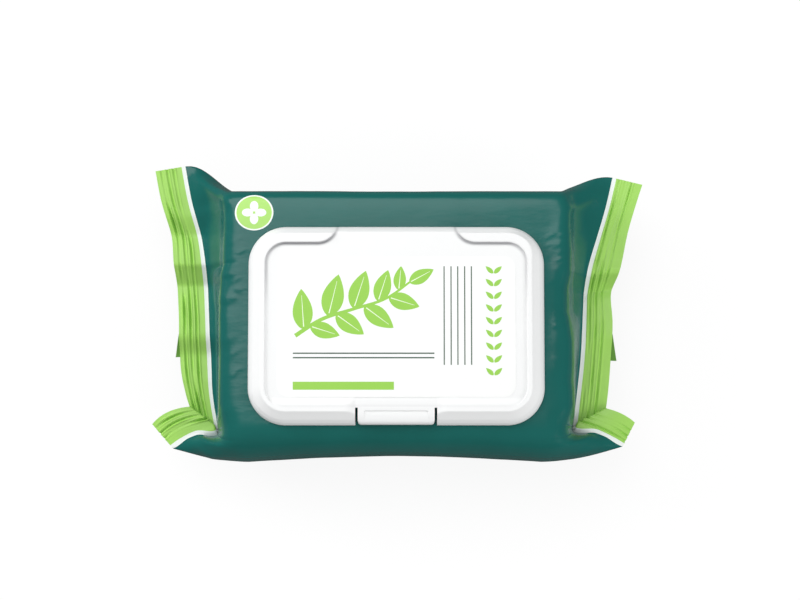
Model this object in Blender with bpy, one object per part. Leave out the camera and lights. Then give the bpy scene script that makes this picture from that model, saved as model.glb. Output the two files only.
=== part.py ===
# Wet wipes pack: a sealed film flow-wrap pack with a rigid flip-top lid.
# The pack lies on its back with the lid up. +X runs along the pack, -Y is the front,
# where the lid's thumb tab is, and the hinge is at +Y. The origin is on the resting face.
import math

import bmesh
import bpy
from mathutils import Matrix, Vector

MM = 0.001

# Filled body of the pack
STACK_LENGTH = 134 * MM
PACK_HEIGHT = 50 * MM
PACK_CENTRE_X = -0.8 * MM
FLAT_REAR = 42 * MM
FLAT_FRONT = 46 * MM
REAR_ROUNDING = 18.5 * MM
FRONT_ROUNDING = 15 * MM
FRONT_BOW = 2.6 * MM
SIDE_FULLNESS = 2.5

# End seals: two layers of film pressed into a flat strip at mid height
SEAL_LEVEL = 26 * MM
SEAL_THICKNESS = 0.8 * MM
STRIPE_SHARE = 0.13
GROOVE_SHARES = (0.42, 0.61, 0.81)
GROOVE_REACH = 0.095
GROOVE_DEPTH = 0.45 * MM

# Film between the strip and the filled body: how strongly it leaves the strip along the
# strip's own direction and upwards, how flat it runs into the body's end, and how much of
# the strip's direction it keeps near the rear and front sides
EDGE_SPRING = 5 * MM
WALL_SPRING = 34 * MM
TOP_SPRING = 38 * MM
REAR_FLARE = 1.0
FRONT_FLARE = 0.15

# Pleat in each front corner, where the strip is folded over and swung outwards. It lies
# flat over the crimped part and is still half open at the strip's inner edge.
FOLD_DEPTH = 9 * MM
FOLD_RADIUS = 0.75 * MM
FOLD_OPENING = 0.45
FOLD_SPAN = 0.35
LEAF_SPAN = 0.6

# Lid, seen from above
LID_LENGTH = 133 * MM
LID_WIDTH = 89.4 * MM
LID_CENTRE_Y = -3.4 * MM
LID_CORNER = 17 * MM
LID_HEIGHT = 8 * MM
LID_WALL = 1.3 * MM
FIT_GAP = 0.3 * MM
SKIRT_GAP = 0.4 * MM
RIM_INSET = 7.7 * MM
STEP_RUN = 1.2 * MM
FIELD_DEPTH = 1.0 * MM
PLATE_THICKNESS = 1.2 * MM
RAMP_INSET = 8.8 * MM
RAMP_RUN = 3.0 * MM

# Outer surface of the cover from its bottom edge up to the rim: inset from the lid's
# outline, and height as a share of the lid's
SKIRT_PROFILE = (
    (0.0, SKIRT_GAP / LID_HEIGHT),
    (0.2 * MM, 0.2),
    (0.9 * MM, 0.4),
    (2.2 * MM, 0.61),
    (5.0 * MM, 0.9),
    (5.6 * MM, 0.97),
    (6.2 * MM, 1.0),
)

# Hinge
HINGE_HALF_WIDTH = 26.5 * MM
HINGE_FLARE = 9 * MM
HINGE_HEIGHT = 1.0 * MM
HINGE_INSET = 0.4 * MM

# Thumb tab, with the curve of its outer surface and of the finger recess in it: distance
# behind the lid's front edge, and drop below the field
TAB_WIDTH = 34.2 * MM
SLOT_WIDTH = 1.15 * MM
SLOT_LENGTH = 7.6 * MM
TAB_CORNER = 1.5 * MM
TAB_MARGIN = 3.0 * MM
TAB_CURVE = (
    (5.2 * MM, 0.1 * MM),
    (3.4 * MM, 0.5 * MM),
    (1.4 * MM, 1.5 * MM),
    (0.5 * MM, 2.8 * MM),
    (0.2 * MM, 3.6 * MM),
)
RECESS_CURVE = (
    (6.3 * MM, 0.65 * MM),
    (2.4 * MM, 1.45 * MM),
    (-1.0 * MM, 1.6 * MM),
)

# Catch: a hook behind the tab, level with a bar on the lid's frame
HOOK_WIDTH = 20 * MM
HOOK_LEVEL = 2.2 * MM
HOOK_THICKNESS = 1.2 * MM
HOOK_GAP = 0.4 * MM
LATCH_BAR_HEIGHT = 4.4 * MM
LATCH_BAR_THICKNESS = 1.4 * MM
LATCH_BAR_SETBACK = 0.1 * MM

# Window of the lid's frame, and what is round it
WINDOW_LENGTH = 96 * MM
WINDOW_WIDTH = 54 * MM
WINDOW_CORNER = 16 * MM
FLANGE_THICKNESS = 1.0 * MM
FLANGE_INSET = 2.6 * MM
FLANGE_FRONT_INSET = 9.4 * MM
LIP_THICKNESS = 1.2 * MM
LIP_HEIGHT = 4.7 * MM
SEAL_RIB_CLEARANCE = 0.4 * MM
SEAL_RIB_THICKNESS = 1.0 * MM
SEAL_RIB_DEPTH = 3.2 * MM

# Labels
LABEL_LENGTH = 106.5 * MM
LABEL_WIDTH = 63.1 * MM
LABEL_FRONT_INSET = 12.3 * MM
LABEL_CORNER = 5.4 * MM
LABEL_THICKNESS = 0.25 * MM
LABEL_RECESS = 0.4 * MM
PEEL_LENGTH = 84 * MM
PEEL_WIDTH = 40 * MM
PEEL_CORNER = 12 * MM
PEEL_TAB_WIDTH = 18 * MM
PEEL_TAB_REACH = 4 * MM

CORNER_STEPS = 12
OVERRUN = 5 * MM

# Each row is one crossing of a seal strip: place along the width as a share of half the
# pack's width, and distance beyond the stack, first of the inner edge, then of the cut
# edge, and last the height over the seal level. The rows go from the rear ear's tip to
# the pleat; the last row is the pleat's visible edge.
HALF_WIDTH = FLAT_FRONT + FRONT_ROUNDING
LEFT_SEAL = (
    (1.195, 29.9 * MM, 1.157, 43.7 * MM, 1.0 * MM),
    (0.93, 26.8 * MM, 0.93, 40.9 * MM, 1.2 * MM),
    (0.67, 22.5 * MM, 0.67, 36.2 * MM, -1.0 * MM),
    (0.46, 20.2 * MM, 0.46, 34.8 * MM, 1.2 * MM),
    (0.31, 19.5 * MM, 0.31, 33.6 * MM, -1.0 * MM),
    (0.05, 18.4 * MM, 0.05, 32.3 * MM, 0.8 * MM),
    (-0.31, 17.3 * MM, -0.31, 31.5 * MM, -0.6 * MM),
    (-0.54, 16.5 * MM, -0.52, 29.1 * MM, -1.6 * MM),
    (-0.80, 14.0 * MM, -0.64, 26.8 * MM, -2.6 * MM),
)
RIGHT_SEAL = (
    (1.105, 33.7 * MM, 1.05, 47.5 * MM, 2.4 * MM),
    (0.887, 30.6 * MM, 0.887, 44.2 * MM, 2.4 * MM),
    (0.68, 26.9 * MM, 0.68, 40.5 * MM, 2.0 * MM),
    (0.48, 23.1 * MM, 0.464, 37.7 * MM, 1.6 * MM),
    (0.35, 21.2 * MM, 0.37, 36.0 * MM, 0.2 * MM),
    (0.18, 20.3 * MM, 0.22, 33.0 * MM, -1.6 * MM),
    (-0.07, 19.3 * MM, 0.0, 33.4 * MM, -0.8 * MM),
    (-0.31, 18.3 * MM, -0.28, 32.3 * MM, 0.4 * MM),
    (-0.56, 16.5 * MM, -0.48, 31.3 * MM, -1.0 * MM),
    (-0.777, 14.9 * MM, -0.654, 30.0 * MM, -2.4 * MM),
)
# The part of the strip beyond the pleat, again inner edge, cut edge and height: halfway
# along, and at its free end.
LEFT_LEAF = (
    (-0.87, 25.5 * MM, -0.68, 38.0 * MM, 2.6 * MM),
    (-0.943, 34.3 * MM, -0.76, 43.9 * MM, 0.0),
)
RIGHT_LEAF = (
    (-0.84, 27.5 * MM, -0.685, 37.5 * MM, 2.4 * MM),
    (-0.928, 37.3 * MM, -0.748, 43.0 * MM, 0.0),
)

# Free end of the lengthwise seal under the pack, which stands out beyond the cut edge:
# where it starts and ends along the width, and how far it reaches
LEFT_FIN = (-4.3 * MM, -15 * MM, 2.2 * MM)
RIGHT_FIN = (-5.8 * MM, -17 * MM, 2.9 * MM)
FIN_DROP = 1.2 * MM

BAND_STATIONS = 24
FOLD_TURN_STEPS = 4
FOLD_STATIONS = 3 + 2 * FOLD_TURN_STEPS
LEAF_STATIONS = 6
FACING_ROW = 3
RAIL_SHARES = (0.1, 0.24, 0.38, 0.52, 0.66, 0.8, 0.91)
BODY_SHARES = (-1.0, -0.72, -0.42, -0.14, 0.14, 0.42, 0.72, 1.0)

TOP = 1
UNDER = -1


def clear_scene():
    for scene_object in list(bpy.data.objects):
        bpy.data.objects.remove(scene_object, do_unlink=True)


def material(name, colour, roughness, metallic=0.0):
    finish = bpy.data.materials.new(name)
    finish.use_nodes = True
    shader = finish.node_tree.nodes["Principled BSDF"]
    shader.inputs["Base Color"].default_value = (*colour, 1.0)
    shader.inputs["Roughness"].default_value = roughness
    shader.inputs["Metallic"].default_value = metallic
    return finish


def new_object(name, mesh, finish=None):
    item = bpy.data.objects.new(name, mesh)
    bpy.context.scene.collection.objects.link(item)
    if finish:
        mesh.materials.append(finish)
    return item


def object_from_bmesh(name, body, finish=None):
    bmesh.ops.recalc_face_normals(body, faces=body.faces)
    mesh = bpy.data.meshes.new(name)
    body.to_mesh(mesh)
    body.free()
    return new_object(name, mesh, finish)


def as_guide(item):
    item.hide_render = True
    item.display_type = "WIRE"
    return item


def boolean(target, tool, operation):
    step = target.modifiers.new(tool.name, "BOOLEAN")
    step.operation = operation
    step.solver = "EXACT"
    step.object = as_guide(tool)
    return target


def cut(target, tool):
    return boolean(target, tool, "DIFFERENCE")


def add(target, tool):
    return boolean(target, tool, "UNION")


def rounded_outline(x_low, x_high, y_low, y_high, radius):
    """Anticlockwise outline of a rectangle with round corners."""
    centres = (
        (x_high - radius, y_low + radius, -90),
        (x_high - radius, y_high - radius, 0),
        (x_low + radius, y_high - radius, 90),
        (x_low + radius, y_low + radius, 180),
    )
    outline = []
    for x, y, start in centres:
        for step in range(CORNER_STEPS + 1):
            angle = math.radians(start + 90 * step / CORNER_STEPS)
            outline.append((x + radius * math.cos(angle), y + radius * math.sin(angle)))
    return outline


def centred_outline(length, width, radius, centre_y=LID_CENTRE_Y):
    return rounded_outline(
        -length / 2, length / 2, centre_y - width / 2, centre_y + width / 2, radius
    )


def lid_outline(inset):
    return centred_outline(LID_LENGTH - 2 * inset, LID_WIDTH - 2 * inset, LID_CORNER - inset)


def loft(name, loops, finish=None):
    """Closed skin over a stack of loops that have as many points each."""
    body = bmesh.new()
    rows = [[body.verts.new(point) for point in loop] for loop in loops]
    for low, high in zip(rows, rows[1:]):
        for index in range(len(low)):
            after = (index + 1) % len(low)
            body.faces.new((low[index], low[after], high[after], high[index]))
    body.faces.new(reversed(rows[0]))
    body.faces.new(rows[-1])
    return object_from_bmesh(name, body, finish)


def prism(name, outline, bottom, top, finish=None):
    loops = [[(x, y, level) for x, y in outline] for level in (bottom, top)]
    return loft(name, loops, finish)


def block(name, x_low, x_high, y_low, y_high, bottom, top):
    outline = ((x_low, y_low), (x_high, y_low), (x_high, y_high), (x_low, y_high))
    return prism(name, outline, bottom, top)


def extrusion_along_x(name, profile, half_length, finish=None):
    """Prism along X whose section is a list of (y, z) points."""
    loops = [[(x, y, z) for y, z in profile] for x in (-half_length, half_length)]
    return loft(name, loops, finish)


# Film pouch

def smooth(share):
    share = min(max(share, 0.0), 1.0)
    return share * share * (3 - 2 * share)


def curve_through(points, share):
    """Point at a share of the way along a smooth curve through equally spaced points."""
    spans = len(points) - 1
    place = min(max(share, 0.0), 1.0) * spans
    index = min(int(place), spans - 1)
    local = place - index
    before = points[max(index - 1, 0)]
    start = points[index]
    end = points[index + 1]
    after = points[min(index + 2, spans)]
    leave = (end - before) / 2
    arrive = (after - start) / 2
    return hermite(start, leave, end, arrive, local)


def hermite(start, leave, end, arrive, share):
    square = share * share
    cube = square * share
    return (
        start * (2 * cube - 3 * square + 1)
        + leave * (cube - 2 * square + share)
        + end * (3 * square - 2 * cube)
        + arrive * (cube - square)
    )


def seal_point(side, row, across):
    """Point of a seal row: across is 0 on the strip's inner edge and 1 on its cut edge."""
    inner_y, inner_x, outer_y, outer_x, rise = row
    y = HALF_WIDTH * (inner_y + (outer_y - inner_y) * across)
    x = STACK_LENGTH / 2 + inner_x + (outer_x - inner_x) * across
    return Vector((PACK_CENTRE_X + side * x, y, SEAL_LEVEL + rise))


def share_at(crossings, y):
    """Share of the way along a front-going curve at which it reaches a given y."""
    low = 0.0
    high = 1.0
    for _ in range(30):
        middle = (low + high) / 2
        if curve_through(crossings, middle).y > y:
            low = middle
        else:
            high = middle
    return low


def band_shares(rows, fin):
    """Even steps along the band, with two more at the fin's end."""
    _, end, reach = fin
    shares = [step / BAND_STATIONS for step in range(BAND_STATIONS + 1)]
    crossings = [seal_point(1, row, 1.0) for row in rows]
    shares.append(share_at(crossings, end))
    shares.append(share_at(crossings, end - reach / 4))
    return sorted(shares)


def fin_share(fin, y):
    """How far the fin stands out of the cut edge at a place along it, from 0 to 1."""
    start, end, reach = fin
    if y > start or y < end - reach / 8:
        return 0.0
    return min((start - y) / (start - end), 1.0)


def fold_path(side, start, onward, across):
    """Z-shaped pleat: the strip runs on under the leaf, turns back and turns over again."""
    opening = FOLD_OPENING + (1 - FOLD_OPENING) * smooth(across / STRIPE_SHARE)
    turn = math.pi * opening
    forward = Vector((0, -1, 0))
    upward = Vector((0, 0, 1))
    hidden = FOLD_DEPTH * across
    arc = math.pi * FOLD_RADIUS / FOLD_TURN_STEPS
    shares = [(step + 0.5) / FOLD_TURN_STEPS for step in range(FOLD_TURN_STEPS)]
    points = [start]
    moves = [(forward, hidden / 2), (forward, hidden / 2)]
    for share in shares:
        angle = turn * share
        moves.append((forward * math.cos(angle) + upward * math.sin(angle), arc))
    back = forward * math.cos(turn) + upward * math.sin(turn)
    moves.append((back, hidden))
    for share in shares:
        angle = turn * (1 - share)
        heading = forward.lerp(onward, smooth(share)).normalized()
        moves.append((heading * math.cos(angle) + upward * math.sin(angle), arc))
    for heading, length in moves:
        points.append(points[-1] + heading * length)
    return points


def strip_line(side, rows, leaf, fin, across):
    """Middle line of the seal strip, from the rear tip to the free end of the leaf."""
    crossings = [seal_point(side, row, across) for row in rows]
    points = [curve_through(crossings, share) for share in band_shares(rows, fin)]
    if across == 1.0:
        for point in points:
            share = fin_share(fin, point.y)
            point.x += side * fin[-1] * share
            point.z -= FIN_DROP * share
    middle = seal_point(side, leaf[0], across)
    end = seal_point(side, leaf[1], across)
    onward = Vector((middle.x - points[-1].x, middle.y - points[-1].y, 0)).normalized()
    folded = fold_path(side, points[-1], onward, across)
    points.extend(folded[1:])
    start = folded[-1]
    reach = (middle - start).length
    for step in range(1, LEAF_STATIONS + 1):
        share = step / LEAF_STATIONS
        bend = start + onward * reach
        bend.z = middle.z
        points.append(start.lerp(bend, share).lerp(bend.lerp(end, share), share))
    return points


def strip_shares():
    """Shares across the strip that carry a line of points."""
    shares = [0.0, STRIPE_SHARE]
    for place in GROOVE_SHARES:
        shares.append(place - GROOVE_REACH)
        shares.append(place)
    return shares + [GROOVE_SHARES[-1] + GROOVE_REACH, 1.0]


def groove(across):
    return -GROOVE_DEPTH if across in GROOVE_SHARES else 0.0


def grid_normals(grid):
    """Unit normals of a grid of points, from the lines through each point's neighbours."""
    normals = []
    for row_index, row in enumerate(grid):
        above = grid[max(row_index - 1, 0)]
        below = grid[min(row_index + 1, len(grid) - 1)]
        line = []
        for index in range(len(row)):
            along = row[min(index + 1, len(row) - 1)] - row[max(index - 1, 0)]
            over = below[index] - above[index]
            line.append(along.cross(over).normalized())
        normals.append(line)
    return normals


def strip_layers(side, rows, leaf, fin):
    """Upper and lower face of the strip, as one row of points for each share across it."""
    shares = strip_shares()
    middle = [strip_line(side, rows, leaf, fin, across) for across in shares]
    normals = grid_normals(middle)
    half = SEAL_THICKNESS / 2
    upper = []
    lower = []
    for across, line, facing in zip(shares, middle, normals):
        centre = [point + normal * side * groove(across) for point, normal in zip(line, facing)]
        upper.append([point + normal * side * half for point, normal in zip(centre, facing)])
        lower.append([point - normal * side * half for point, normal in zip(centre, facing)])
    return upper, lower


def section_point(x, place, face):
    """Point of the filled body's section: place runs 0 to 1 over the rear side, to 2 over
    the flat face and to 3 over the front side."""
    middle = PACK_HEIGHT / 2
    spread = 2 * (x - PACK_CENTRE_X) / STACK_LENGTH
    front = FRONT_ROUNDING + FRONT_BOW * spread * spread
    if place <= 1:
        y, z = side_point(place, REAR_ROUNDING)
        return Vector((x, FLAT_REAR + y, middle + face * z))
    if place < 2:
        return Vector((x, FLAT_REAR - (place - 1) * (FLAT_REAR + FLAT_FRONT), middle + face * middle))
    y, z = side_point(3 - place, front)
    return Vector((x, -FLAT_FRONT - y, middle + face * z))


def side_point(share, rounding):
    angle = share * math.pi / 2
    power = 2 / SIDE_FULLNESS
    return (
        rounding * max(math.cos(angle), 0.0) ** power,
        PACK_HEIGHT / 2 * max(math.sin(angle), 0.0) ** power,
    )


def station_places(rows, fin):
    """Where on the body's section each station of the strip is joined to."""
    places = []
    tip = rows[0][0] * HALF_WIDTH
    crossings = [seal_point(1, row, 0.0) for row in rows]
    for share in band_shares(rows, fin):
        y = curve_through(crossings, share).y
        if y > FLAT_REAR:
            places.append((tip - y) / (tip - FLAT_REAR))
        else:
            places.append(1 + (FLAT_REAR - y) / (FLAT_REAR + FLAT_FRONT))
    last = places[-1]
    fold_end = last + FOLD_SPAN
    for step in range(1, FOLD_STATIONS + 1):
        places.append(last + (fold_end - last) * step / FOLD_STATIONS)
    for step in range(1, LEAF_STATIONS + 1):
        places.append(fold_end + (3 - fold_end) * step / LEAF_STATIONS)
    return places


def rail_rows(side, edge, inward, places, face):
    """Film between the strip's inner edge and the end of the filled body."""
    rows = []
    end_x = PACK_CENTRE_X + side * STACK_LENGTH / 2
    for share in RAIL_SHARES:
        row = []
        for start, direction, place in zip(edge, inward, places):
            end = section_point(end_x, place, face)
            chord = end - start
            rise = math.sin(min(place, 1.0, (3 - place) / LEAF_SPAN) * math.pi / 2)
            steep = direction * EDGE_SPRING + Vector((0, 0, face * WALL_SPRING))
            flare = REAR_FLARE if place < 1 else FRONT_FLARE
            tip = chord.lerp(direction * chord.length, flare)
            leave = tip.lerp(steep, rise)
            arrive = Vector((-side * TOP_SPRING, 0, 0))
            row.append(hermite(start, leave, end, arrive, share))
        rows.append(row)
    return rows


def end_rows(side, rows, leaf, fin):
    """Rows of one end of the pouch, from the cut edge to the last row before the body."""
    upper, lower = strip_layers(side, rows, leaf, fin)
    places = station_places(rows, fin)
    facing = zip(upper[0], upper[FACING_ROW])
    inward = [(inner - outer).normalized() for inner, outer in facing]
    over = rail_rows(side, upper[0], inward, places, TOP)
    under = rail_rows(side, lower[0], inward, places, UNDER)
    tops = upper[::-1] + over
    bottoms = lower[::-1] + under
    return tops, bottoms, places


def body_rows(left_places, right_places):
    tops = []
    bottoms = []
    for share in BODY_SHARES:
        x = PACK_CENTRE_X + share * STACK_LENGTH / 2
        blend = (share + 1) / 2
        places = [a + (b - a) * blend for a, b in zip(left_places, right_places)]
        tops.append([section_point(x, place, TOP) for place in places])
        bottoms.append([section_point(x, place, UNDER) for place in places])
    return tops, bottoms


def part_sides(tops, bottoms):
    """Hold the two layers a film apart where they meet along the pack's sides."""
    half = Vector((0, 0, SEAL_THICKNESS / 2))
    for top, bottom in zip(tops, bottoms):
        for index in (0, -1):
            if (top[index] - bottom[index]).length < SEAL_THICKNESS / 2:
                top[index] = top[index] + half
                bottom[index] = bottom[index] - half


def film_pouch(finish):
    left_tops, left_bottoms, left_places = end_rows(-1, LEFT_SEAL, LEFT_LEAF, LEFT_FIN)
    right_tops, right_bottoms, right_places = end_rows(1, RIGHT_SEAL, RIGHT_LEAF, RIGHT_FIN)
    mid_tops, mid_bottoms = body_rows(left_places, right_places)
    tops = left_tops + mid_tops + right_tops[::-1]
    bottoms = left_bottoms + mid_bottoms + right_bottoms[::-1]
    part_sides(tops, bottoms)
    loops = [top + bottom[::-1] for top, bottom in zip(tops, bottoms)]
    body = bmesh.new()
    rows = [[body.verts.new(point) for point in loop] for loop in loops]
    count = len(rows[0])
    for here, beyond in zip(rows, rows[1:]):
        for index in range(count):
            after = (index + 1) % count
            body.faces.new((here[index], here[after], beyond[after], beyond[index]))
    for row in (rows[0], rows[-1]):
        for index in range(count // 2 - 1):
            body.faces.new((row[index], row[index + 1], row[count - 2 - index], row[count - 1 - index]))
    pouch = object_from_bmesh("film_pouch", body, finish)
    pouch.data.shade_smooth()
    pouch.data.set_sharp_from_angle(angle=math.radians(40))
    return pouch


# Lid

def lid_loop(inset, height):
    return [(x, y, PACK_HEIGHT + height) for x, y in lid_outline(inset)]


def lid_rear():
    return LID_CENTRE_Y + LID_WIDTH / 2


def lid_front():
    return LID_CENTRE_Y - LID_WIDTH / 2


def ceiling():
    return LID_HEIGHT - FIELD_DEPTH - PLATE_THICKNESS


def cover_hollow():
    loops = [lid_loop(LID_WALL, -OVERRUN)]
    for inset, share in SKIRT_PROFILE[1:4]:
        loops.append(lid_loop(inset + LID_WALL, share * LID_HEIGHT - LID_WALL / 3))
    last_inset = SKIRT_PROFILE[3][0]
    loops.append(lid_loop(last_inset + 2.5 * LID_WALL, ceiling()))
    return loft("cover_hollow", loops)


def field_outline(grow):
    """Outline of the recessed field, with the channel that runs out over the hinge."""
    inset = RIM_INSET + STEP_RUN - grow
    half_x = LID_LENGTH / 2 - inset
    low = lid_front() + inset
    high = lid_rear() - inset
    outline = rounded_outline(-half_x, half_x, low, high, LID_CORNER - inset)
    first = 2 * (CORNER_STEPS + 1)
    right_half = outline[:first]
    left_half = outline[first:]
    neck = HINGE_HALF_WIDTH + grow
    channel = []
    for step in range(CORNER_STEPS + 1):
        angle = math.radians(90 - 90 * step / CORNER_STEPS)
        x = neck + HINGE_FLARE - HINGE_FLARE * math.cos(angle)
        channel.append((x, lid_rear() - (lid_rear() - high) * math.sin(angle)))
    channel.append((neck, lid_rear() + OVERRUN))
    left_channel = [(-x, y) for x, y in reversed(channel)]
    return right_half + channel + left_channel + left_half


def field_cutter():
    bottom = PACK_HEIGHT + LID_HEIGHT - FIELD_DEPTH
    top = PACK_HEIGHT + LID_HEIGHT
    slope = STEP_RUN / FIELD_DEPTH
    low = [(x, y, bottom) for x, y in field_outline(0.0)]
    high = [(x, y, top + FIELD_DEPTH) for x, y in field_outline(2 * FIELD_DEPTH * slope)]
    cutter = loft("field_cutter", (low, high))
    ramp_top = lid_front() + RAMP_INSET
    ramp_foot = ramp_top + RAMP_RUN
    profile = (
        (ramp_top, top),
        (ramp_foot, bottom - FIT_GAP / 10),
        (ramp_foot, bottom - OVERRUN),
        (lid_rear() + 3 * OVERRUN, bottom - OVERRUN),
        (lid_rear() + 3 * OVERRUN, top + OVERRUN),
        (ramp_top, top + OVERRUN),
    )
    ramp = extrusion_along_x("field_ramp", profile, LID_LENGTH)
    return boolean(cutter, ramp, "INTERSECT")


def tab_zone_cutter():
    level = PACK_HEIGHT + LID_HEIGHT - FIELD_DEPTH
    half = TAB_WIDTH / 2 + SLOT_WIDTH
    rear = lid_front() + RAMP_INSET + RAMP_RUN
    outline = ((-half, lid_front() - OVERRUN), (half, lid_front() - OVERRUN), (half, rear), (-half, rear))
    wide = ((-half - STEP_RUN, lid_front() - OVERRUN), (half + STEP_RUN, lid_front() - OVERRUN),
            (half + STEP_RUN, rear + STEP_RUN), (-half - STEP_RUN, rear + STEP_RUN))
    loops = (
        [(x, y, level) for x, y in outline],
        [(x, y, level + FIELD_DEPTH + FIT_GAP) for x, y in wide],
    )
    return loft("tab_zone", loops)


def tab_notch():
    half = TAB_WIDTH / 2 + SLOT_WIDTH
    rear = lid_front() + SLOT_LENGTH
    base = PACK_HEIGHT - OVERRUN
    top = PACK_HEIGHT + LID_HEIGHT + OVERRUN
    return block("tab_notch", -half, half, lid_front() - OVERRUN, rear, base, top)


def hinge_trim():
    """Clears the cover's rear skirt above the frame's hinge strip."""
    half = HINGE_HALF_WIDTH + SLOT_WIDTH
    level = PACK_HEIGHT + FIT_GAP + FLANGE_THICKNESS + FIT_GAP
    return block(
        "hinge_trim", -half, half, lid_rear() - 3 * LID_WALL, lid_rear() + OVERRUN,
        PACK_HEIGHT - OVERRUN, level,
    )


def label_outline(grow):
    front = lid_front() + LABEL_FRONT_INSET
    rear = front + LABEL_WIDTH
    half = LABEL_LENGTH / 2 + grow
    return rounded_outline(-half, half, front - grow, rear + grow, LABEL_CORNER + grow)


def label_cutter():
    level = PACK_HEIGHT + LID_HEIGHT - FIELD_DEPTH
    return prism("label_cutter", label_outline(FIT_GAP), level - LABEL_RECESS, level + OVERRUN)


def ring(name, outer, inner, bottom, top):
    body = prism(name, outer, bottom, top)
    hole = prism(name + "_hole", inner, bottom - OVERRUN, top + OVERRUN)
    return cut(body, hole)


def window_outline(grow):
    return centred_outline(WINDOW_LENGTH + 2 * grow, WINDOW_WIDTH + 2 * grow, WINDOW_CORNER + grow)


def sealing_rib():
    outer = window_outline(-SEAL_RIB_CLEARANCE)
    inner = window_outline(-SEAL_RIB_CLEARANCE - SEAL_RIB_THICKNESS)
    level = PACK_HEIGHT + ceiling()
    return ring("sealing_rib", outer, inner, level - SEAL_RIB_DEPTH, level + PLATE_THICKNESS / 3)


def lid_cover(finish):
    skirt = [lid_loop(inset, share * LID_HEIGHT) for inset, share in SKIRT_PROFILE]
    cover = loft("lid_cover", skirt, finish)
    cut(cover, cover_hollow())
    cut(cover, field_cutter())
    cut(cover, tab_zone_cutter())
    cut(cover, label_cutter())
    cut(cover, tab_notch())
    cut(cover, hinge_trim())
    add(cover, sealing_rib())
    return cover


def offset_line(points, distance):
    """Line that runs at a distance to the right of another one's heading."""
    moved = []
    for index, point in enumerate(points):
        before = points[max(index - 1, 0)]
        after = points[min(index + 1, len(points) - 1)]
        run = after[0] - before[0]
        rise = after[1] - before[1]
        length = math.hypot(run, rise)
        moved.append((point[0] + rise / length * distance, point[1] - run / length * distance))
    return moved


def tab_profile():
    """Section of the thumb tab as (y, z) points: the outer surface, then the inner one."""
    field = PACK_HEIGHT + LID_HEIGHT - FIELD_DEPTH
    outer = [(lid_front() + distance, field - drop) for distance, drop in TAB_CURVE]
    outer.append((outer[-1][0], PACK_HEIGHT + SKIRT_GAP - FIT_GAP))
    outer.insert(0, (lid_front() + SLOT_LENGTH - FIT_GAP, field))
    return outer + offset_line(outer, -PLATE_THICKNESS)[::-1]


def tab_blank():
    """Blank that rounds the tab's lower corners."""
    foot = PACK_HEIGHT + SKIRT_GAP
    top = PACK_HEIGHT + LID_HEIGHT
    half = TAB_WIDTH / 2
    outline = rounded_outline(-half, half, foot, top, TAB_CORNER)
    front = lid_front() - OVERRUN
    rear = lid_front() + SLOT_LENGTH + OVERRUN
    loops = [[(x, y, z) for x, z in outline] for y in (front, rear)]
    return loft("tab_blank", loops)


def finger_recess():
    """Shallow scoop in the tab that a fingertip catches under."""
    half = TAB_WIDTH / 2 - TAB_MARGIN
    field = PACK_HEIGHT + LID_HEIGHT - FIELD_DEPTH
    floor = [(lid_front() + distance, field - drop) for distance, drop in RECESS_CURVE]
    profile = [(floor[0][0], field + OVERRUN)] + floor + [(floor[-1][0], field + OVERRUN)]
    return extrusion_along_x("finger_recess", profile, half)


def hook():
    """Straight catch behind the tab that stands opposite the frame's latch bar."""
    front = lid_front() + TAB_CURVE[-1][0] + PLATE_THICKNESS / 2
    rear = lid_front() + FLANGE_FRONT_INSET + LATCH_BAR_SETBACK - HOOK_GAP
    low = PACK_HEIGHT + HOOK_LEVEL
    half = HOOK_WIDTH / 2
    return block("hook", -half, half, front, rear, low, low + HOOK_THICKNESS)


def latch_tab(finish):
    tab = extrusion_along_x("latch_tab", tab_profile(), TAB_WIDTH / 2, finish)
    cut(tab, finger_recess())
    boolean(tab, tab_blank(), "INTERSECT")
    add(tab, hook())
    return tab


def lid_base(finish):
    bottom = PACK_HEIGHT + FIT_GAP
    top = bottom + FLANGE_THICKNESS
    half = LID_LENGTH / 2 - FLANGE_INSET
    outline = rounded_outline(
        -half, half, lid_front() + FLANGE_FRONT_INSET, lid_rear() - FLANGE_INSET, LID_CORNER - FLANGE_INSET
    )
    base = prism("lid_base", outline, bottom, top, finish)
    strip_rear = lid_rear() - HINGE_INSET - 2 * FIT_GAP
    strip = block(
        "hinge_strip", -HINGE_HALF_WIDTH, HINGE_HALF_WIDTH, lid_rear() - 3 * FLANGE_INSET, strip_rear,
        bottom + FLANGE_THICKNESS / 4, top - FLANGE_THICKNESS / 4,
    )
    add(base, strip)
    lip_outline = window_outline(LIP_THICKNESS)
    add(base, prism("window_lip", lip_outline, bottom + FLANGE_THICKNESS / 2, bottom + LIP_HEIGHT))
    bar_front = lid_front() + FLANGE_FRONT_INSET + LATCH_BAR_SETBACK
    bar = block(
        "latch_bar", -HOOK_WIDTH / 2, HOOK_WIDTH / 2, bar_front, bar_front + LATCH_BAR_THICKNESS,
        bottom + FLANGE_THICKNESS / 2, PACK_HEIGHT + LATCH_BAR_HEIGHT,
    )
    add(base, bar)
    window = prism("window", window_outline(0.0), bottom - OVERRUN, PACK_HEIGHT + LID_HEIGHT + OVERRUN)
    cut(base, window)
    return base


def cover_label(finish):
    level = PACK_HEIGHT + LID_HEIGHT - FIELD_DEPTH - LABEL_RECESS + FIT_GAP
    return prism("cover_label", label_outline(0.0), level, level + LABEL_THICKNESS, finish)


def peel_outline():
    outline = centred_outline(PEEL_LENGTH, PEEL_WIDTH, PEEL_CORNER)
    front = LID_CENTRE_Y - PEEL_WIDTH / 2
    half = PEEL_TAB_WIDTH / 2
    tab = []
    for step in range(CORNER_STEPS + 1):
        angle = math.radians(180 + 180 * step / CORNER_STEPS)
        tab.append((half * math.cos(angle), front + PEEL_TAB_REACH * math.sin(angle)))
    return tab + outline


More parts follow.
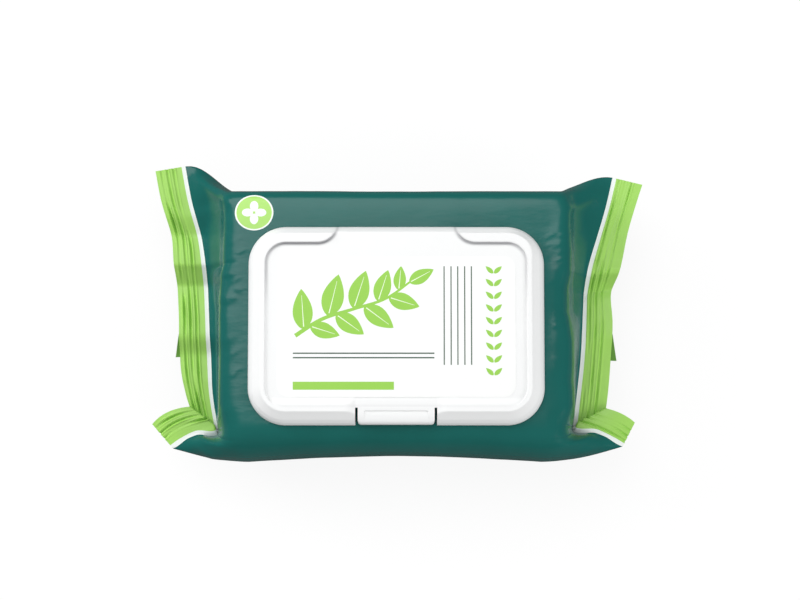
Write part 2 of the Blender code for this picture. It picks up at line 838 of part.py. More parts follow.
def peel_seal(finish):
    bottom = PACK_HEIGHT + FIT_GAP
    return prism("peel_seal", peel_outline(), bottom, bottom + LABEL_THICKNESS, finish)


def put_origin(item, place):
    """Move an object's own origin to a place, with its shape left where it is."""
    offset = Vector(place)
    item.data.transform(Matrix.Translation(-offset))
    item.location = offset


def build():
    clear_scene()
    film = material("printed_film", (0.012, 0.118, 0.107), 0.35)
    seal = material("peel_film", (0.80, 0.86, 0.80), 0.4)
    plastic = material("moulded_polypropylene", (0.86, 0.87, 0.87), 0.35)
    paper = material("label_film", (0.91, 0.91, 0.91), 0.4)
    film_pouch(film)
    peel_seal(seal)
    lid_base(plastic)
    cover = lid_cover(plastic)
    tab = latch_tab(plastic)
    label = cover_label(paper)
    hinge = (0.0, lid_rear() - HINGE_INSET, PACK_HEIGHT + HINGE_HEIGHT)
    put_origin(cover, hinge)
    put_origin(tab, (0.0, lid_front() + SLOT_LENGTH, PACK_HEIGHT + LID_HEIGHT - FIELD_DEPTH))
    bpy.context.view_layer.update()
    for rider in (tab, label):
        rider.parent = cover
        rider.matrix_parent_inverse = cover.matrix_world.inverted()


build()
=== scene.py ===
import math

import bmesh
import bpy
import numpy as np
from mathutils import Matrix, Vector, noise
from mathutils.geometry import delaunay_2d_cdt


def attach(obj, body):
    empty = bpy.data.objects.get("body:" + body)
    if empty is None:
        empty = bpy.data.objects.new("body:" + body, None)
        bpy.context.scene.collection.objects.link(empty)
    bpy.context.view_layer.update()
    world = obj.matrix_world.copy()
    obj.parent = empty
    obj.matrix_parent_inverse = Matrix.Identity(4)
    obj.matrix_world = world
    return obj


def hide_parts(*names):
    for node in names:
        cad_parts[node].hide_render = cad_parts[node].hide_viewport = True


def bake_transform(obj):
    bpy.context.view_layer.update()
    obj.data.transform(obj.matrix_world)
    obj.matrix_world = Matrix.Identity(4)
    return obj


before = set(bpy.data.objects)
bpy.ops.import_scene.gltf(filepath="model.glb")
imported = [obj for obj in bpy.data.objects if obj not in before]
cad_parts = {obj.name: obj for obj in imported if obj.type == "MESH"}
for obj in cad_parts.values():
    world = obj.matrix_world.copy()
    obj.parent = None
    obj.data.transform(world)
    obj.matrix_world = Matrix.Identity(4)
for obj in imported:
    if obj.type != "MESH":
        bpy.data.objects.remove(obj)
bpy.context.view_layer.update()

# Film pouch
# The wrapper is a gravure-printed laminate of polyester on polyethylene, drawn tight over
# the stack of wipes. A hot crimping jaw closes each end, and each front corner of the end
# seal is pleated and swung outwards.

MM = 0.001
STACK_LENGTH = 134 * MM
PACK_CENTRE_X = -0.8 * MM
PACK_HEIGHT = 50 * MM
FLAT_REAR = 42 * MM
FLAT_FRONT = 46 * MM
REAR_ROUNDING = 17.2 * MM
FRONT_ROUNDING = 15 * MM
FRONT_BOW = 2.6 * MM
REAR_FULLNESS = 6.0
FRONT_FULLNESS = 2.5
HALF_WIDTH = FLAT_FRONT + FRONT_ROUNDING
SEAL_LEVEL = 26 * MM
SEAL_THICKNESS = 0.5 * MM
STRIPE_SHARE = 0.13
# The jaw's grooves. Their width is a share of the strip's. A lip is pressed up on each side,
# so many groove widths from the middle and with a share of the groove's depth. They press
# in with an average force that changes along the strip and has a least value, and wander a
# little. The grain is the unevenness between them, and all fade in beyond the stripe.
GROOVE_WIDTH = 0.024
LIP_PLACE = 2.6
LIP_HEIGHT = 0.45
GROOVE_FORCE = 0.9
FORCE_CHANGE = 1.5
WEAKEST_GROOVE = 0.12
GROOVE_WANDER = 0.03
CRIMP_GRAIN = 0.09
CRIMP_START = 0.05

# What differs between the two ends.
# seal: one row for each crossing of the seal, from the rear ear's tip to the pleat: place
#   across the pack, as a share of its half width, and mm beyond the stack, first of the
#   inner edge and then of the cut edge.
# leaf: the strip beyond the pleat, halfway along it and at its free end, each with its rise.
# waves: place across the pack and height over the seal level, in mm.
# wall: the end wall's steep part at places across the pack, in mm: its width in plan, its
#   slope, and how far the flat top carries on towards it.
LEFT_END = {
    "side": -1,
    "seal": (
        (1.195, 29.9, 1.157, 43.7), (0.93, 26.8, 0.93, 40.9), (0.67, 22.5, 0.67, 36.2),
        (0.46, 20.2, 0.46, 34.8), (0.31, 19.5, 0.31, 33.6), (0.05, 18.4, 0.05, 32.3),
        (-0.31, 17.3, -0.31, 31.5), (-0.54, 16.5, -0.52, 29.1), (-0.80, 14.0, -0.64, 26.8),
    ),
    "leaf": ((-0.85, 25.5, -0.66, 38.0, 3.0), (-0.943, 34.3, -0.76, 43.9, 0.0)),
    "waves": (
        (-45, -2.6), (-35.5, -1.8), (-26, -1.3), (-13.5, -2.2), (-7.2, 1.4), (-5.2, 1.5),
        (8.5, -0.8), (14.4, -2.8), (18.0, -3.4), (27.0, 2.2), (34, 1.2), (40.5, -0.9),
        (42, -0.8), (49.3, 1.3), (57, 1.3), (72, 1.2),
    ),
    "wall": (
        (-50, 0.5, 20, 38), (-27, 0.8, 14, 40), (6, 1.3, 8, 42), (25, 4.4, 1.62, 42),
        (50, 6.4, 1.57, 42),
    ),
    "grooves": (0.42, 0.61, 0.81),
    "groove_depth": 0.75 * MM,
    "seed": 3.0,
}
RIGHT_END = {
    "side": 1,
    "seal": (
        (1.105, 33.7, 1.05, 47.5), (0.887, 30.6, 0.887, 44.2), (0.68, 26.9, 0.68, 40.5),
        (0.48, 23.1, 0.464, 37.7), (0.35, 21.2, 0.37, 36.0), (0.18, 20.3, 0.22, 33.0),
        (-0.07, 19.3, 0.0, 33.4), (-0.31, 18.3, -0.28, 32.3), (-0.56, 16.5, -0.48, 31.3),
        (-0.777, 14.9, -0.654, 30.0),
    ),
    "leaf": ((-0.84, 27.5, -0.685, 37.5, 2.8), (-0.928, 37.3, -0.748, 43.0, 0.0)),
    "waves": (
        (-45, -2.2), (-35.5, -1.3), (-26, -1.1), (-13.3, -0.6), (-8.7, 0.2), (-6.8, 0.3),
        (1.5, -1.0), (10.8, -2.6), (14.6, -4.2), (16.0, -4.0), (22.6, 3.4), (25, 3.6),
        (29.3, 2.4), (43, 2.2), (57, 2.6), (69, 2.4),
    ),
    "wall": (
        (-50, 0.5, 20, 36), (-27, 1.5, 7, 36), (4, 4.2, 1.75, 38), (22, 5.2, 1.57, 44),
        (50, 8.6, 1.5, 44),
    ),
    "grooves": (0.23, 0.44, 0.65),
    "groove_depth": 0.5 * MM,
    "seed": 41.0,
}

# The end wall: a low hem, a steep and slightly hollow wall up to its crease, and a shoulder.
HEM_SLOPE = 0.62
CREASE_REACH = 80.9 * MM
CREASE_LEVEL = 40 * MM
WALL_HOLLOW = 0.07
WALL_SOFTENING = 4
SHOULDER_SPRING = 26.5 * MM
SHOULDER_CLIMB = 5.2
# The crease fades out towards the ear and towards the leaf: from where, and over how much.
EAR_FADE = (72 * MM, 20 * MM)
LEAF_FADE = (-49 * MM, 9 * MM)
# Springs and flares of the smooth curve that stands in for the crease beyond its ends.
EDGE_SPRING = 5 * MM
WALL_SPRING = 34 * MM
TOP_SPRING = 38 * MM
REAR_FLARE = 1.0
FRONT_FLARE = 0.15
FOLD_DEPTH = 9 * MM
FOLD_RADIUS = 0.75 * MM
FOLD_OPENING = 0.45
FOLD_SPAN = 0.35
LEAF_SPAN = 0.6
# The printed stripe is narrow at the pleat, and the leaf's inner edge is drawn up between
# its ends; shares across the strip.
PLEAT_STRIPE = 0.062
LEAF_DRAW = 0.074

BAND_STEPS = 160
FOLD_RUN_STEPS = 6
FOLD_TURN_STEPS = 8
FOLD_STEPS = 2 * (FOLD_RUN_STEPS + FOLD_TURN_STEPS)
LEAF_STEPS = 28
BAND_ROWS = 46
STRIP_SHARES = np.concatenate([
    [0.0, STRIPE_SHARE / 2], np.linspace(STRIPE_SHARE, 1.0, BAND_ROWS),
])
APRON_SHARES = np.linspace(0.0, 1.0, 11)[1:]
WALL_SHARES = np.linspace(0.0, 1.0, 21)[1:-1] ** 1.15
BODY_SHARES = np.linspace(-1.0, 1.0, 44)
CURVE_SAMPLES = np.linspace(0.0, 1.0, 61)


def smooth(share):
    share = np.clip(share, 0.0, 1.0)
    return share * share * (3 - 2 * share)


def unit(vectors):
    return vectors / np.linalg.norm(vectors, axis=-1, keepdims=True)


def relaxed(rows, times):
    """Rows smoothed along the first axis, with the two ends kept."""
    for _ in range(times):
        rows[1:-1] = (rows[:-2] + 2 * rows[1:-1] + rows[2:]) / 4
    return rows


@np.vectorize
def noise_at(x, y, z):
    return noise.noise(Vector((x, y, z)))


def hermite(start, leave, end, arrive, share):
    square = share * share
    cube = square * share
    return (
        start * (2 * cube - 3 * square + 1)
        + leave * (cube - 2 * square + share)
        + end * (3 * square - 2 * cube)
        + arrive * (cube - square)
    )


def curve_through(points, shares):
    """Points of a smooth curve through equally spaced points, at shares of the way along."""
    points = np.asarray(points, float)
    spans = len(points) - 1
    places = np.clip(shares, 0.0, 1.0) * spans
    index = np.minimum(places.astype(int), spans - 1)
    start = points[index]
    end = points[index + 1]
    leave = (end - points[np.maximum(index - 1, 0)]) / 2
    arrive = (points[np.minimum(index + 2, spans)] - start) / 2
    return hermite(start, leave, end, arrive, (places - index)[:, None])


def seal_point(end, row, across):
    inner_y, inner_x, outer_y, outer_x, *rise = row
    y = HALF_WIDTH * (inner_y + (outer_y - inner_y) * across)
    x = STACK_LENGTH / 2 + (inner_x + (outer_x - inner_x) * across) * MM
    return np.array((PACK_CENTRE_X + end["side"] * x, y, SEAL_LEVEL + sum(rise) * MM))


def seal_line(end, across):
    points = [seal_point(end, row, across) for row in end["seal"]]
    return curve_through(points, np.linspace(0, 1, BAND_STEPS + 1))


def wave_level(end):
    """Height of each station of the band, the same right across it."""
    places, heights = np.array(end["waves"]).T * MM
    return SEAL_LEVEL + relaxed(np.interp(seal_line(end, 0.5)[:, 1], places, heights), 3)


def fold_path(start, onward, across):
    """The pleat: on under the leaf, back over itself, and round into the leaf."""
    opening = FOLD_OPENING + (1 - FOLD_OPENING) * float(smooth(across / STRIPE_SHARE))
    turn = math.pi * opening
    forward = np.array((0.0, -1.0, 0.0))
    upward = np.array((0.0, 0.0, 1.0))
    run = FOLD_DEPTH * across / FOLD_RUN_STEPS
    arc = math.pi * FOLD_RADIUS / FOLD_TURN_STEPS
    shares = [(step + 0.5) / FOLD_TURN_STEPS for step in range(FOLD_TURN_STEPS)]

    def move(heading, angle, length):
        return (heading * math.cos(angle) + upward * math.sin(angle)) * length

    moves = [move(forward, 0, run)] * FOLD_RUN_STEPS
    moves += [move(forward, turn * share, arc) for share in shares]
    moves += [move(forward, turn, run)] * FOLD_RUN_STEPS
    for share in shares:
        heading = unit(forward + (onward - forward) * smooth(share))
        moves.append(move(heading, turn * (1 - share), arc))
    return np.cumsum([start] + moves, axis=0)


def strip_line(end, across):
    band = seal_line(end, across)
    band[:, 2] = wave_level(end)
    middle, tip = (seal_point(end, row, across) for row in end["leaf"])
    onward = unit((middle - band[-1]) * (1, 1, 0))
    fold = fold_path(band[-1], onward, across)
    start = fold[-1]
    bend = start + onward * np.linalg.norm(middle - start)
    bend[2] = middle[2]
    share = np.linspace(0, 1, LEAF_STEPS + 1)[1:, None]
    near = start + (bend - start) * share
    far = bend + (tip - bend) * share
    return np.concatenate([band, fold[1:], near + (far - near) * share])


def grid_normals(grid):
    normals = np.cross(np.gradient(grid, axis=1), np.gradient(grid, axis=0))
    return normals / np.maximum(np.linalg.norm(normals, axis=2, keepdims=True), 1e-12)


def crimp(shares, end):
    """Depth of the jaw's grooves, which press in harder at some places than at others."""
    seed = end["seed"]
    steps = np.arange(shares.shape[1])
    depth = CRIMP_GRAIN * noise_at(shares[:, :1] * 46, steps * 0.03, seed)
    for number, place in enumerate(end["grooves"]):
        force = GROOVE_FORCE + FORCE_CHANGE * noise_at(seed + number * 7.3, steps * 0.06, 0.4)
        wander = GROOVE_WANDER * noise_at(seed - number * 5.1, steps * 0.03, 9.2)
        offset = (shares - place - wander) / GROOVE_WIDTH
        lip = LIP_HEIGHT * np.exp(-((np.abs(offset) - LIP_PLACE) ** 2))
        depth += np.maximum(force, WEAKEST_GROOVE) * (np.exp(-offset * offset) - lip)
    return depth * np.clip((shares - STRIPE_SHARE) / CRIMP_START, 0, 1)


def stripe_edges(stations):
    """Shares across the strip of its inner edge and of the stripe's outer edge."""
    step = np.arange(stations) - BAND_STEPS
    on_leaf = np.clip((step - FOLD_STEPS) / LEAF_STEPS, 0, 1)
    drawn = smooth(on_leaf / 0.4) * (1 - smooth((on_leaf - 0.55) / 0.45))
    narrow = smooth(step / FOLD_STEPS) * (1 - smooth(on_leaf / 0.4))
    return LEAF_DRAW * drawn, STRIPE_SHARE + (PLEAT_STRIPE - STRIPE_SHARE) * narrow


def strip_layers(end):
    """Upper and lower face of one strip, a row for each share across it."""
    middle = np.array([strip_line(end, across) for across in STRIP_SHARES])
    stations = middle.shape[1]
    inner, outer = stripe_edges(stations)
    in_stripe = STRIP_SHARES[:, None] / STRIPE_SHARE
    beyond = (STRIP_SHARES[:, None] - STRIPE_SHARE) / (1 - STRIPE_SHARE)
    in_ink = outer + (1 - outer) * beyond
    shares = np.where(in_stripe <= 1, inner + (outer - inner) * in_stripe, in_ink)
    middle = np.array([
        [np.interp(shares[:, step], STRIP_SHARES, middle[:, step, axis]) for axis in range(3)]
        for step in range(stations)
    ]).transpose(2, 0, 1)
    normals = grid_normals(middle) * end["side"]
    middle = middle - normals * end["groove_depth"] * crimp(shares, end)[:, :, None]
    half = normals * SEAL_THICKNESS / 2
    return middle + half, middle - half


def side_point(share, rounding, fullness):
    """Point of a side whose corners are the squarer, the higher the fullness."""
    angle = share ** (fullness / 3 if fullness > 3 else 1) * math.pi / 2
    power = 2 / fullness
    reach = rounding * max(math.cos(angle), 0.0) ** power
    return reach, PACK_HEIGHT / 2 * max(math.sin(angle), 0.0) ** power


def section_point(x, place, face):
    """Section of the filled body: rear side up to place 1, flat face to 2, front to 3."""
    spread = 2 * (x - PACK_CENTRE_X) / STACK_LENGTH
    if place <= 1:
        y, z = side_point(place, REAR_ROUNDING, REAR_FULLNESS)
        y += FLAT_REAR
    elif place < 2:
        y, z = FLAT_REAR - (place - 1) * (FLAT_REAR + FLAT_FRONT), PACK_HEIGHT / 2
    else:
        rounding = FRONT_ROUNDING + FRONT_BOW * spread * spread
        y, z = side_point(3 - place, rounding, FRONT_FULLNESS)
        y = -FLAT_FRONT - y
    return x, y, PACK_HEIGHT / 2 + face * z


def station_places(end):
    """Place on the body's section that each station of the strip leads to."""
    tip = end["seal"][0][0] * HALF_WIDTH
    line = seal_line(end, 0.0)[:, 1]
    rear = (tip - line) / (tip - FLAT_REAR)
    flat = 1 + (FLAT_REAR - line) / (FLAT_REAR + FLAT_FRONT)
    places = np.where(line > FLAT_REAR, rear, flat)
    fold_end = places[-1] + FOLD_SPAN
    fold = np.linspace(places[-1], fold_end, FOLD_STEPS + 1)[1:]
    leaf = np.linspace(fold_end, 3, LEAF_STEPS + 1)[1:]
    return np.concatenate([places, fold, leaf])


def creased(edge):
    """1 where the end wall turns over the stack's edge in a crease, 0 at ear and leaf."""
    y = edge[:, 1]
    before_leaf = np.arange(len(edge)) <= BAND_STEPS
    by_ear = smooth((EAR_FADE[0] - y) / EAR_FADE[1])
    return by_ear * smooth((y - LEAF_FADE[0]) / LEAF_FADE[1]) * before_leaf


def curve_rows(start, leave, end, arrive, plan_shares):
    """Rows of the curves from start to end, at shares of the way as seen from above."""
    fine = np.array([hermite(start, leave, end, arrive, share) for share in CURVE_SAMPLES])
    across = (end - start)[:, :2]
    progress = np.einsum("tnk,nk->tn", fine[..., :2] - start[:, :2], across)
    progress = np.maximum.accumulate(progress / (across ** 2).sum(axis=1), axis=0)
    return np.array([
        [np.interp(plan_shares[:, n], progress[:, n], fine[:, n, axis]) for axis in range(3)]
        for n in range(len(start))
    ]).transpose(2, 0, 1)


def rail_rows(end, edge, inward, places, face):
    """Rows from the strip up the end wall and over onto the body: one smooth curve at the
    ear's tip and the leaf, and between them a low hem, a steep wall and a crease on top."""
    up = np.array((0, 0, face))
    over = np.array((-end["side"], 0, 0))
    top_x = PACK_CENTRE_X + end["side"] * STACK_LENGTH / 2
    top = np.array([section_point(top_x, place, face) for place in places])
    chord = top - edge

    rise = np.sin(np.minimum(np.minimum(places, 1.0), (3 - places) / LEAF_SPAN) * math.pi / 2)
    steep = inward * EDGE_SPRING + up * WALL_SPRING
    flare = np.where(places < 1, REAR_FLARE, FRONT_FLARE)[:, None]
    length = np.linalg.norm(chord, axis=1, keepdims=True)
    tip = chord + (inward * length - chord) * flare
    leave = tip + (steep - tip) * rise[:, None]

    beside = np.abs(edge[:, 0])
    reach = np.clip((beside - CREASE_REACH) / (beside - abs(top_x)), 0.05, 0.8)
    width = np.linalg.norm(chord[:, :2], axis=1) * reach
    table = np.array(end["wall"]).T
    steep_run, slope, spring = (
        np.interp(edge[:, 1] / MM, table[0], values) for values in table[1:]
    )
    steep_run = steep_run * MM
    hem = np.clip(1 - steep_run / width, 0.15, 0.85)
    first = np.minimum(APRON_SHARES[:, None] * 2, 1)
    second = np.maximum(APRON_SHARES[:, None] * 2 - 1, 0)
    apron = hem * first + (1 - hem) * second
    plan = np.concatenate([apron * reach, reach + WALL_SHARES[:, None] * (1 - reach)])
    plain = curve_rows(edge, leave, top, over * TOP_SPRING, plan)

    foot = edge + chord * reach[:, None]
    low = width * hem * HEM_SLOPE
    most = CREASE_LEVEL - PACK_HEIGHT / 2 - np.abs(edge[:, 2] - PACK_HEIGHT / 2) - low
    high = np.minimum(slope * steep_run, most)
    foot[:, 2] = edge[:, 2] + face * (low + high)
    climb = np.minimum(slope * (1 + WALL_HOLLOW), SHOULDER_CLIMB)[:, None]
    onto = (unit(chord * (1, 1, 0)) + up * climb) / np.hypot(1, climb) * SHOULDER_SPRING
    plan = np.repeat(WALL_SHARES[:, None], len(edge), axis=1)
    turned = curve_rows(foot, onto, top, over * spring[:, None] * MM, plan)
    wall = edge + (foot - edge) * apron[..., None]
    hollow = 1 - WALL_HOLLOW * (1 - second)
    wall[..., 2] = edge[:, 2] + face * (low * first + high * second * hollow)
    folded = relaxed(np.concatenate([wall, turned]), WALL_SOFTENING)
    return plain + (folded - plain) * creased(edge)[:, None]


def film_end(end):
    upper, lower = strip_layers(end)
    places = station_places(end)
    inward = unit((upper[0] - upper[8]) * (1, 1, 0.3))
    over = rail_rows(end, upper[0], inward, places, 1)
    under = rail_rows(end, lower[0], inward, places, -1)
    return np.concatenate([upper[::-1], over]), np.concatenate([lower[::-1], under]), places


left_top, left_bottom, left_places = film_end(LEFT_END)
right_top, right_bottom, right_places = film_end(RIGHT_END)


def body_rows(face):
    """Rows over the stack, whose places pass from the left strip's to the right one's."""
    rows = []
    for share in BODY_SHARES:
        x = PACK_CENTRE_X + share * STACK_LENGTH / 2
        places = left_places + (right_places - left_places) * (share + 1) / 2
        rows.append([section_point(x, place, face) for place in places])
    return np.array(rows)


film_top = np.concatenate([left_top, body_rows(1), right_top[::-1]])
film_bottom = np.concatenate([left_bottom, body_rows(-1), right_bottom[::-1]])
strip_rows = len(STRIP_SHARES)

LID_LENGTH = 133 * MM
LID_WIDTH = 89.4 * MM
LID_CENTRE_Y = -3.4 * MM
LID_CORNER = 17 * MM


def outside_lid(points):
    """Distance outside the lid's outline, negative within it."""
    x = np.abs(points[..., 0]) - (LID_LENGTH / 2 - LID_CORNER)
    y = np.abs(points[..., 1] - LID_CENTRE_Y) - (LID_WIDTH / 2 - LID_CORNER)
    corner = np.hypot(np.maximum(x, 0), np.maximum(y, 0))
    return corner + np.minimum(np.maximum(x, y), 0) - LID_CORNER


def near_path(points, path):
    """Distance in plan from a path given in millimetres, and how far along it, 0 to 1."""
    flat = points[..., :2]
    best = np.full(flat.shape[:-1], 1.0)
    along = np.zeros(flat.shape[:-1])
    path = np.array(path, float) * MM
    spans = len(path) - 1
    for number, (start, end) in enumerate(zip(path, path[1:])):
        run = end - start
        share = np.clip(((flat - start) @ run) / (run @ run), 0, 1)
        gap = np.linalg.norm(flat - start - share[..., None] * run, axis=-1)
        nearer = gap < best
        best = np.where(nearer, gap, best)
        along = np.where(nearer, (number + share) / spans, along)
    return best, along


# Creases of the upper film, as a path seen from above with its width and its height, which
# is negative for a dent: the ears' ridges and dents, the right shoulder's ridge, and the
# folds by the pleats. All in mm.
CREASES = (
    (((-76, 53), (-86, 62), (-97, 72)), 2.0, 1.3),
    (((-82, 44), (-88, 56), (-95, 66)), 4.6, -0.9),
    (((76, 49), (83.5, 54.2), (92, 59)), 2.0, 1.3),
    (((81, 38), (87, 47), (95, 57)), 4.6, -0.9),
    (((76.2, 52), (77.0, 38), (75.6, 16), (72.6, -22)), 5.0, 1.2),
    (((-90, -57.5), (-84.7, -60.5), (-77, -61.5)), 1.6, 0.9),
    (((81, -60), (87.5, -58.2), (93.4, -56.0), (99, -55)), 1.6, 1.0),
)
# The fine wrinkles, nearly all at the right end: their number, the share at the left end,
# and the ranges of their distance from the middle, half length, slope and height, in mm.
SHORT_CREASES = 46
SHORT_CREASES_LEFT = 0.15
SHORT_CREASE_PLACE = (68.5, 78)
SHORT_CREASE_HALF = (1.8, 4.5)
SHORT_CREASE_SLOPE = (0.25, 0.8)
SHORT_CREASE_RISE = (0.05, 0.22)
SHORT_CREASE_WIDTH = 0.8 * MM
# They begin at the rear and reach forwards, ever further apart, in mm across the pack.
SHORT_CREASE_REAR = 42
SHORT_CREASE_REACH = 70
# The film's slack: its height, its waves per metre, and finer waves that are longest along
# the web, with their share of the height.
SLACK = 0.2 * MM
SLACK_WAVES = 30
FINE_WAVES = (25, 90, 90)
FINE_SHARE = 0.3
# The relief fades out towards the lid's flange and, on the underside, towards the table.
FLANGE_FADE = 5 * MM
TABLE_FADE = (1 * MM, 4 * MM)
UNDERSIDE_LEVEL = 0.35 * MM


def film_relief(points, normals, face):
    """The film's slack, its creases and the fine wrinkles at the right end."""
    flat = points.reshape(-1, 3)
    slack = np.array([noise.fractal(Vector(point) * SLACK_WAVES, 0.9, 2.1, 3) for point in flat])
    slack += FINE_SHARE * noise_at(*(flat * FINE_WAVES + (0, 0, 5)).T)
    height = slack.reshape(points.shape[:2]) * SLACK
    if face < 0:
        level = np.clip((points[..., 2] - TABLE_FADE[0]) / TABLE_FADE[1], 0, 1)
        return points + normals * (height * level)[..., None]
    for path, width, rise in CREASES:
        gap, along = near_path(points, path)
        taper = np.sin(np.pi * np.clip(along, 0.06, 0.94)) ** 0.6
        height += rise * MM * taper * np.exp(-(gap / (width * MM)) ** 2)
    picks = np.random.default_rng(11)
    for _ in range(SHORT_CREASES):
        side = picks.choice((-1, 1), p=(SHORT_CREASES_LEFT, 1 - SHORT_CREASES_LEFT))
        x = side * picks.uniform(*SHORT_CREASE_PLACE)
        y = SHORT_CREASE_REAR - SHORT_CREASE_REACH * picks.uniform(0, 1) ** 1.5
        half = picks.uniform(*SHORT_CREASE_HALF)
        slope = picks.uniform(*SHORT_CREASE_SLOPE)
        path = ((x - half, y - slope * half), (x + half, y + slope * half))
        gap, along = near_path(points, path)
        taper = np.sin(np.pi * np.clip(along, 0.0, 1.0))
        rise = picks.uniform(*SHORT_CREASE_RISE) * MM
        height += rise * taper * np.exp(-(gap / SHORT_CREASE_WIDTH) ** 2)
    clear = np.clip(outside_lid(points) / FLANGE_FADE, 0, 1)
    return points + normals * (height * clear)[..., None]


def fair(rows):
    """Weight that fades the relief out towards the crimped strips."""
    weight = np.zeros(rows)
    ramp = np.clip(np.arange(rows - 2 * strip_rows) / 3.0, 0, 1)
    weight[strip_rows:rows - strip_rows] = np.minimum(ramp, ramp[::-1])
    return weight[:, None, None]


for face, grid in ((1, film_top), (-1, film_bottom)):
    relieved = film_relief(grid, grid_normals(grid) * face, face)
    grid += (relieved - grid) * fair(len(grid))
film_bottom[..., 2] = np.maximum(film_bottom[..., 2], UNDERSIDE_LEVEL)
inside = slice(strip_rows, len(film_top) - strip_rows)
for edge in (0, -1):
    middle = (film_top[inside, edge] + film_bottom[inside, edge]) / 2
    film_top[inside, edge] = middle
    film_bottom[inside, edge] = middle


def loops_mesh(name, loops, capped=True):
    """Quads over a stack of closed loops that have as many points each."""
    loops = np.asarray(loops, float)
    rows, count = loops.shape[:2]
    index = np.arange(rows * count).reshape(rows, count)
    after = np.roll(index, -1, axis=1)
    faces = np.stack([index[:-1], after[:-1], after[1:], index[1:]], axis=2)
    faces = faces.reshape(-1, 4).tolist()
    if capped:
        faces += [index[0][::-1].tolist(), index[-1].tolist()]
    mesh = bpy.data.meshes.new(name)
    mesh.from_pydata(loops.reshape(-1, 3).tolist(), [], faces)
    return mesh


def paint_bands(mesh, per_row, last, band):
    """Gives the rows of faces at each end material 1, and the stripe's two rows material 2."""
    for face in mesh.polygons:
        row = face.index // per_row
        from_end = min(row, last - row)
        face.material_index = 1 if from_end < band else 2 if from_end < band + 2 else 0


WELD = 0.004 * MM


def tidy_mesh(mesh, sharp):
    """Welds what coincides, turns the faces outwards and shades them smooth."""
    body = bmesh.new()
    body.from_mesh(mesh)
    bmesh.ops.remove_doubles(body, verts=body.verts, dist=WELD)
    bmesh.ops.recalc_face_normals(body, faces=body.faces)
    body.to_mesh(mesh)
    body.free()
    mesh.shade_smooth()
    mesh.set_sharp_from_angle(angle=math.radians(sharp))


def add_object(name, data):
    item = bpy.data.objects.new(name, data)
    bpy.context.scene.collection.objects.link(item)
    return item


def piece(mesh, body, slot, *finishes):
    item = add_object(mesh.name, mesh)
    for finish in finishes:
        mesh.materials.append(finish)
    if body:
        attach(item, body)
    return item


film_loops = np.concatenate([film_top, film_bottom[:, ::-1]], axis=1)
film_mesh = loops_mesh("film_wrapper", film_loops, capped=False)
row_count, loop_points = film_loops.shape[:2]
# Rows of faces in the green part of a strip. The two rows of the white stripe follow them.
band_rows = strip_rows - 3
paint_bands(film_mesh, loop_points, row_count - 2, band_rows)
body = bmesh.new()
body.from_mesh(film_mesh)
body.verts.ensure_lookup_table()
for row in (0, row_count - 1):
    for step in range(loop_points // 2 - 1):
        corners = (step, step + 1, loop_points - 2 - step, loop_points - 1 - step)
        face = body.faces.new([body.verts[row * loop_points + place] for place in corners])
        face.material_index = 1
body.to_mesh(film_mesh)
body.free()
tidy_mesh(film_mesh, 78)


def from_hex(code):
    """Linear colour of an sRGB hex value."""
    channels = [int(code[place:place + 2], 16) / 255 for place in (0, 2, 4)]
    return [c / 12.92 if c <= 0.04045 else ((c + 0.055) / 1.055) ** 2.4 for c in channels] + [1.0]


def add_node(tree, kind, settings=None, links=None):
    """Adds a node with its settings. A link goes from (node, output) to the named input."""
    made = tree.nodes.new("ShaderNode" + kind)
    for key, value in (settings or {}).items():
        if isinstance(key, str) and hasattr(made, key):
            setattr(made, key, value)
        else:
            made.inputs[key].default_value = value
    for key, (source, output) in (links or {}).items():
        tree.links.new(source.outputs[output], made.inputs[key])
    return made


def new_material(name):
    made = bpy.data.materials.new(name)
    made.use_nodes = True
    made.node_tree.nodes.clear()
    return made, made.node_tree


def plastic(name, colours, cloud, grain, bump, shader, over=None):
    """Plastic whose colour wavers between two close ones, over a faintly uneven surface.

    cloud is the size, detail and roughness of the colour's noise, grain the surface's size
    along each axis and its detail, bump the strength and the depth of that, and over lays
    more over the colour.
    """
    made, tree = new_material(name)
    place = (add_node(tree, "TexCoord"), "Object")
    size, detail, roughness = cloud
    mottle = add_node(
        tree, "TexNoise", {"Scale": 1 / size, "Detail": detail, "Roughness": roughness},
        {"Vector": place},
    )
    darker, lighter = (from_hex(colour) for colour in colours)
    tint = add_node(tree, "Mix", {"data_type": "RGBA", 6: darker, 7: lighter}, {0: (mottle, 0)})
    if over:
        tint = over(tree, place, tint)
    sizes, detail = grain
    grid = add_node(tree, "Mapping", {"Scale": [1 / size for size in sizes]}, {"Vector": place})
    uneven = add_node(tree, "TexNoise", {"Scale": 1.0, "Detail": detail}, {"Vector": (grid, 0)})
    strength, depth = bump
    relief = add_node(
        tree, "Bump", {"Strength": strength, "Distance": depth}, {"Height": (uneven, 0)}
    )
    surface = add_node(
        tree, "BsdfPrincipled", shader, {"Base Color": (tint, 2), "Normal": (relief, 0)}
    )
    add_node(tree, "OutputMaterial", links={"Surface": (surface, 0)})
    return made


# The badge's white ring, its green field and four round petals in the middle, each as its
# middle and radii in mm and its ink.
BADGE = (
    ((-64.2, 48.0), (8.7, 8.15), "F2F8F3"),
    ((-64.2, 48.0), (8.0, 7.5), "A9DC6B"),
    ((-64.2, 50.9), (1.9, 2.4), "F2F8F3"),
    ((-64.2, 45.1), (1.9, 2.4), "F2F8F3"),
    ((-67.2, 48.0), (2.5, 1.8), "F2F8F3"),
    ((-61.2, 48.0), (2.5, 1.8), "F2F8F3"),
)


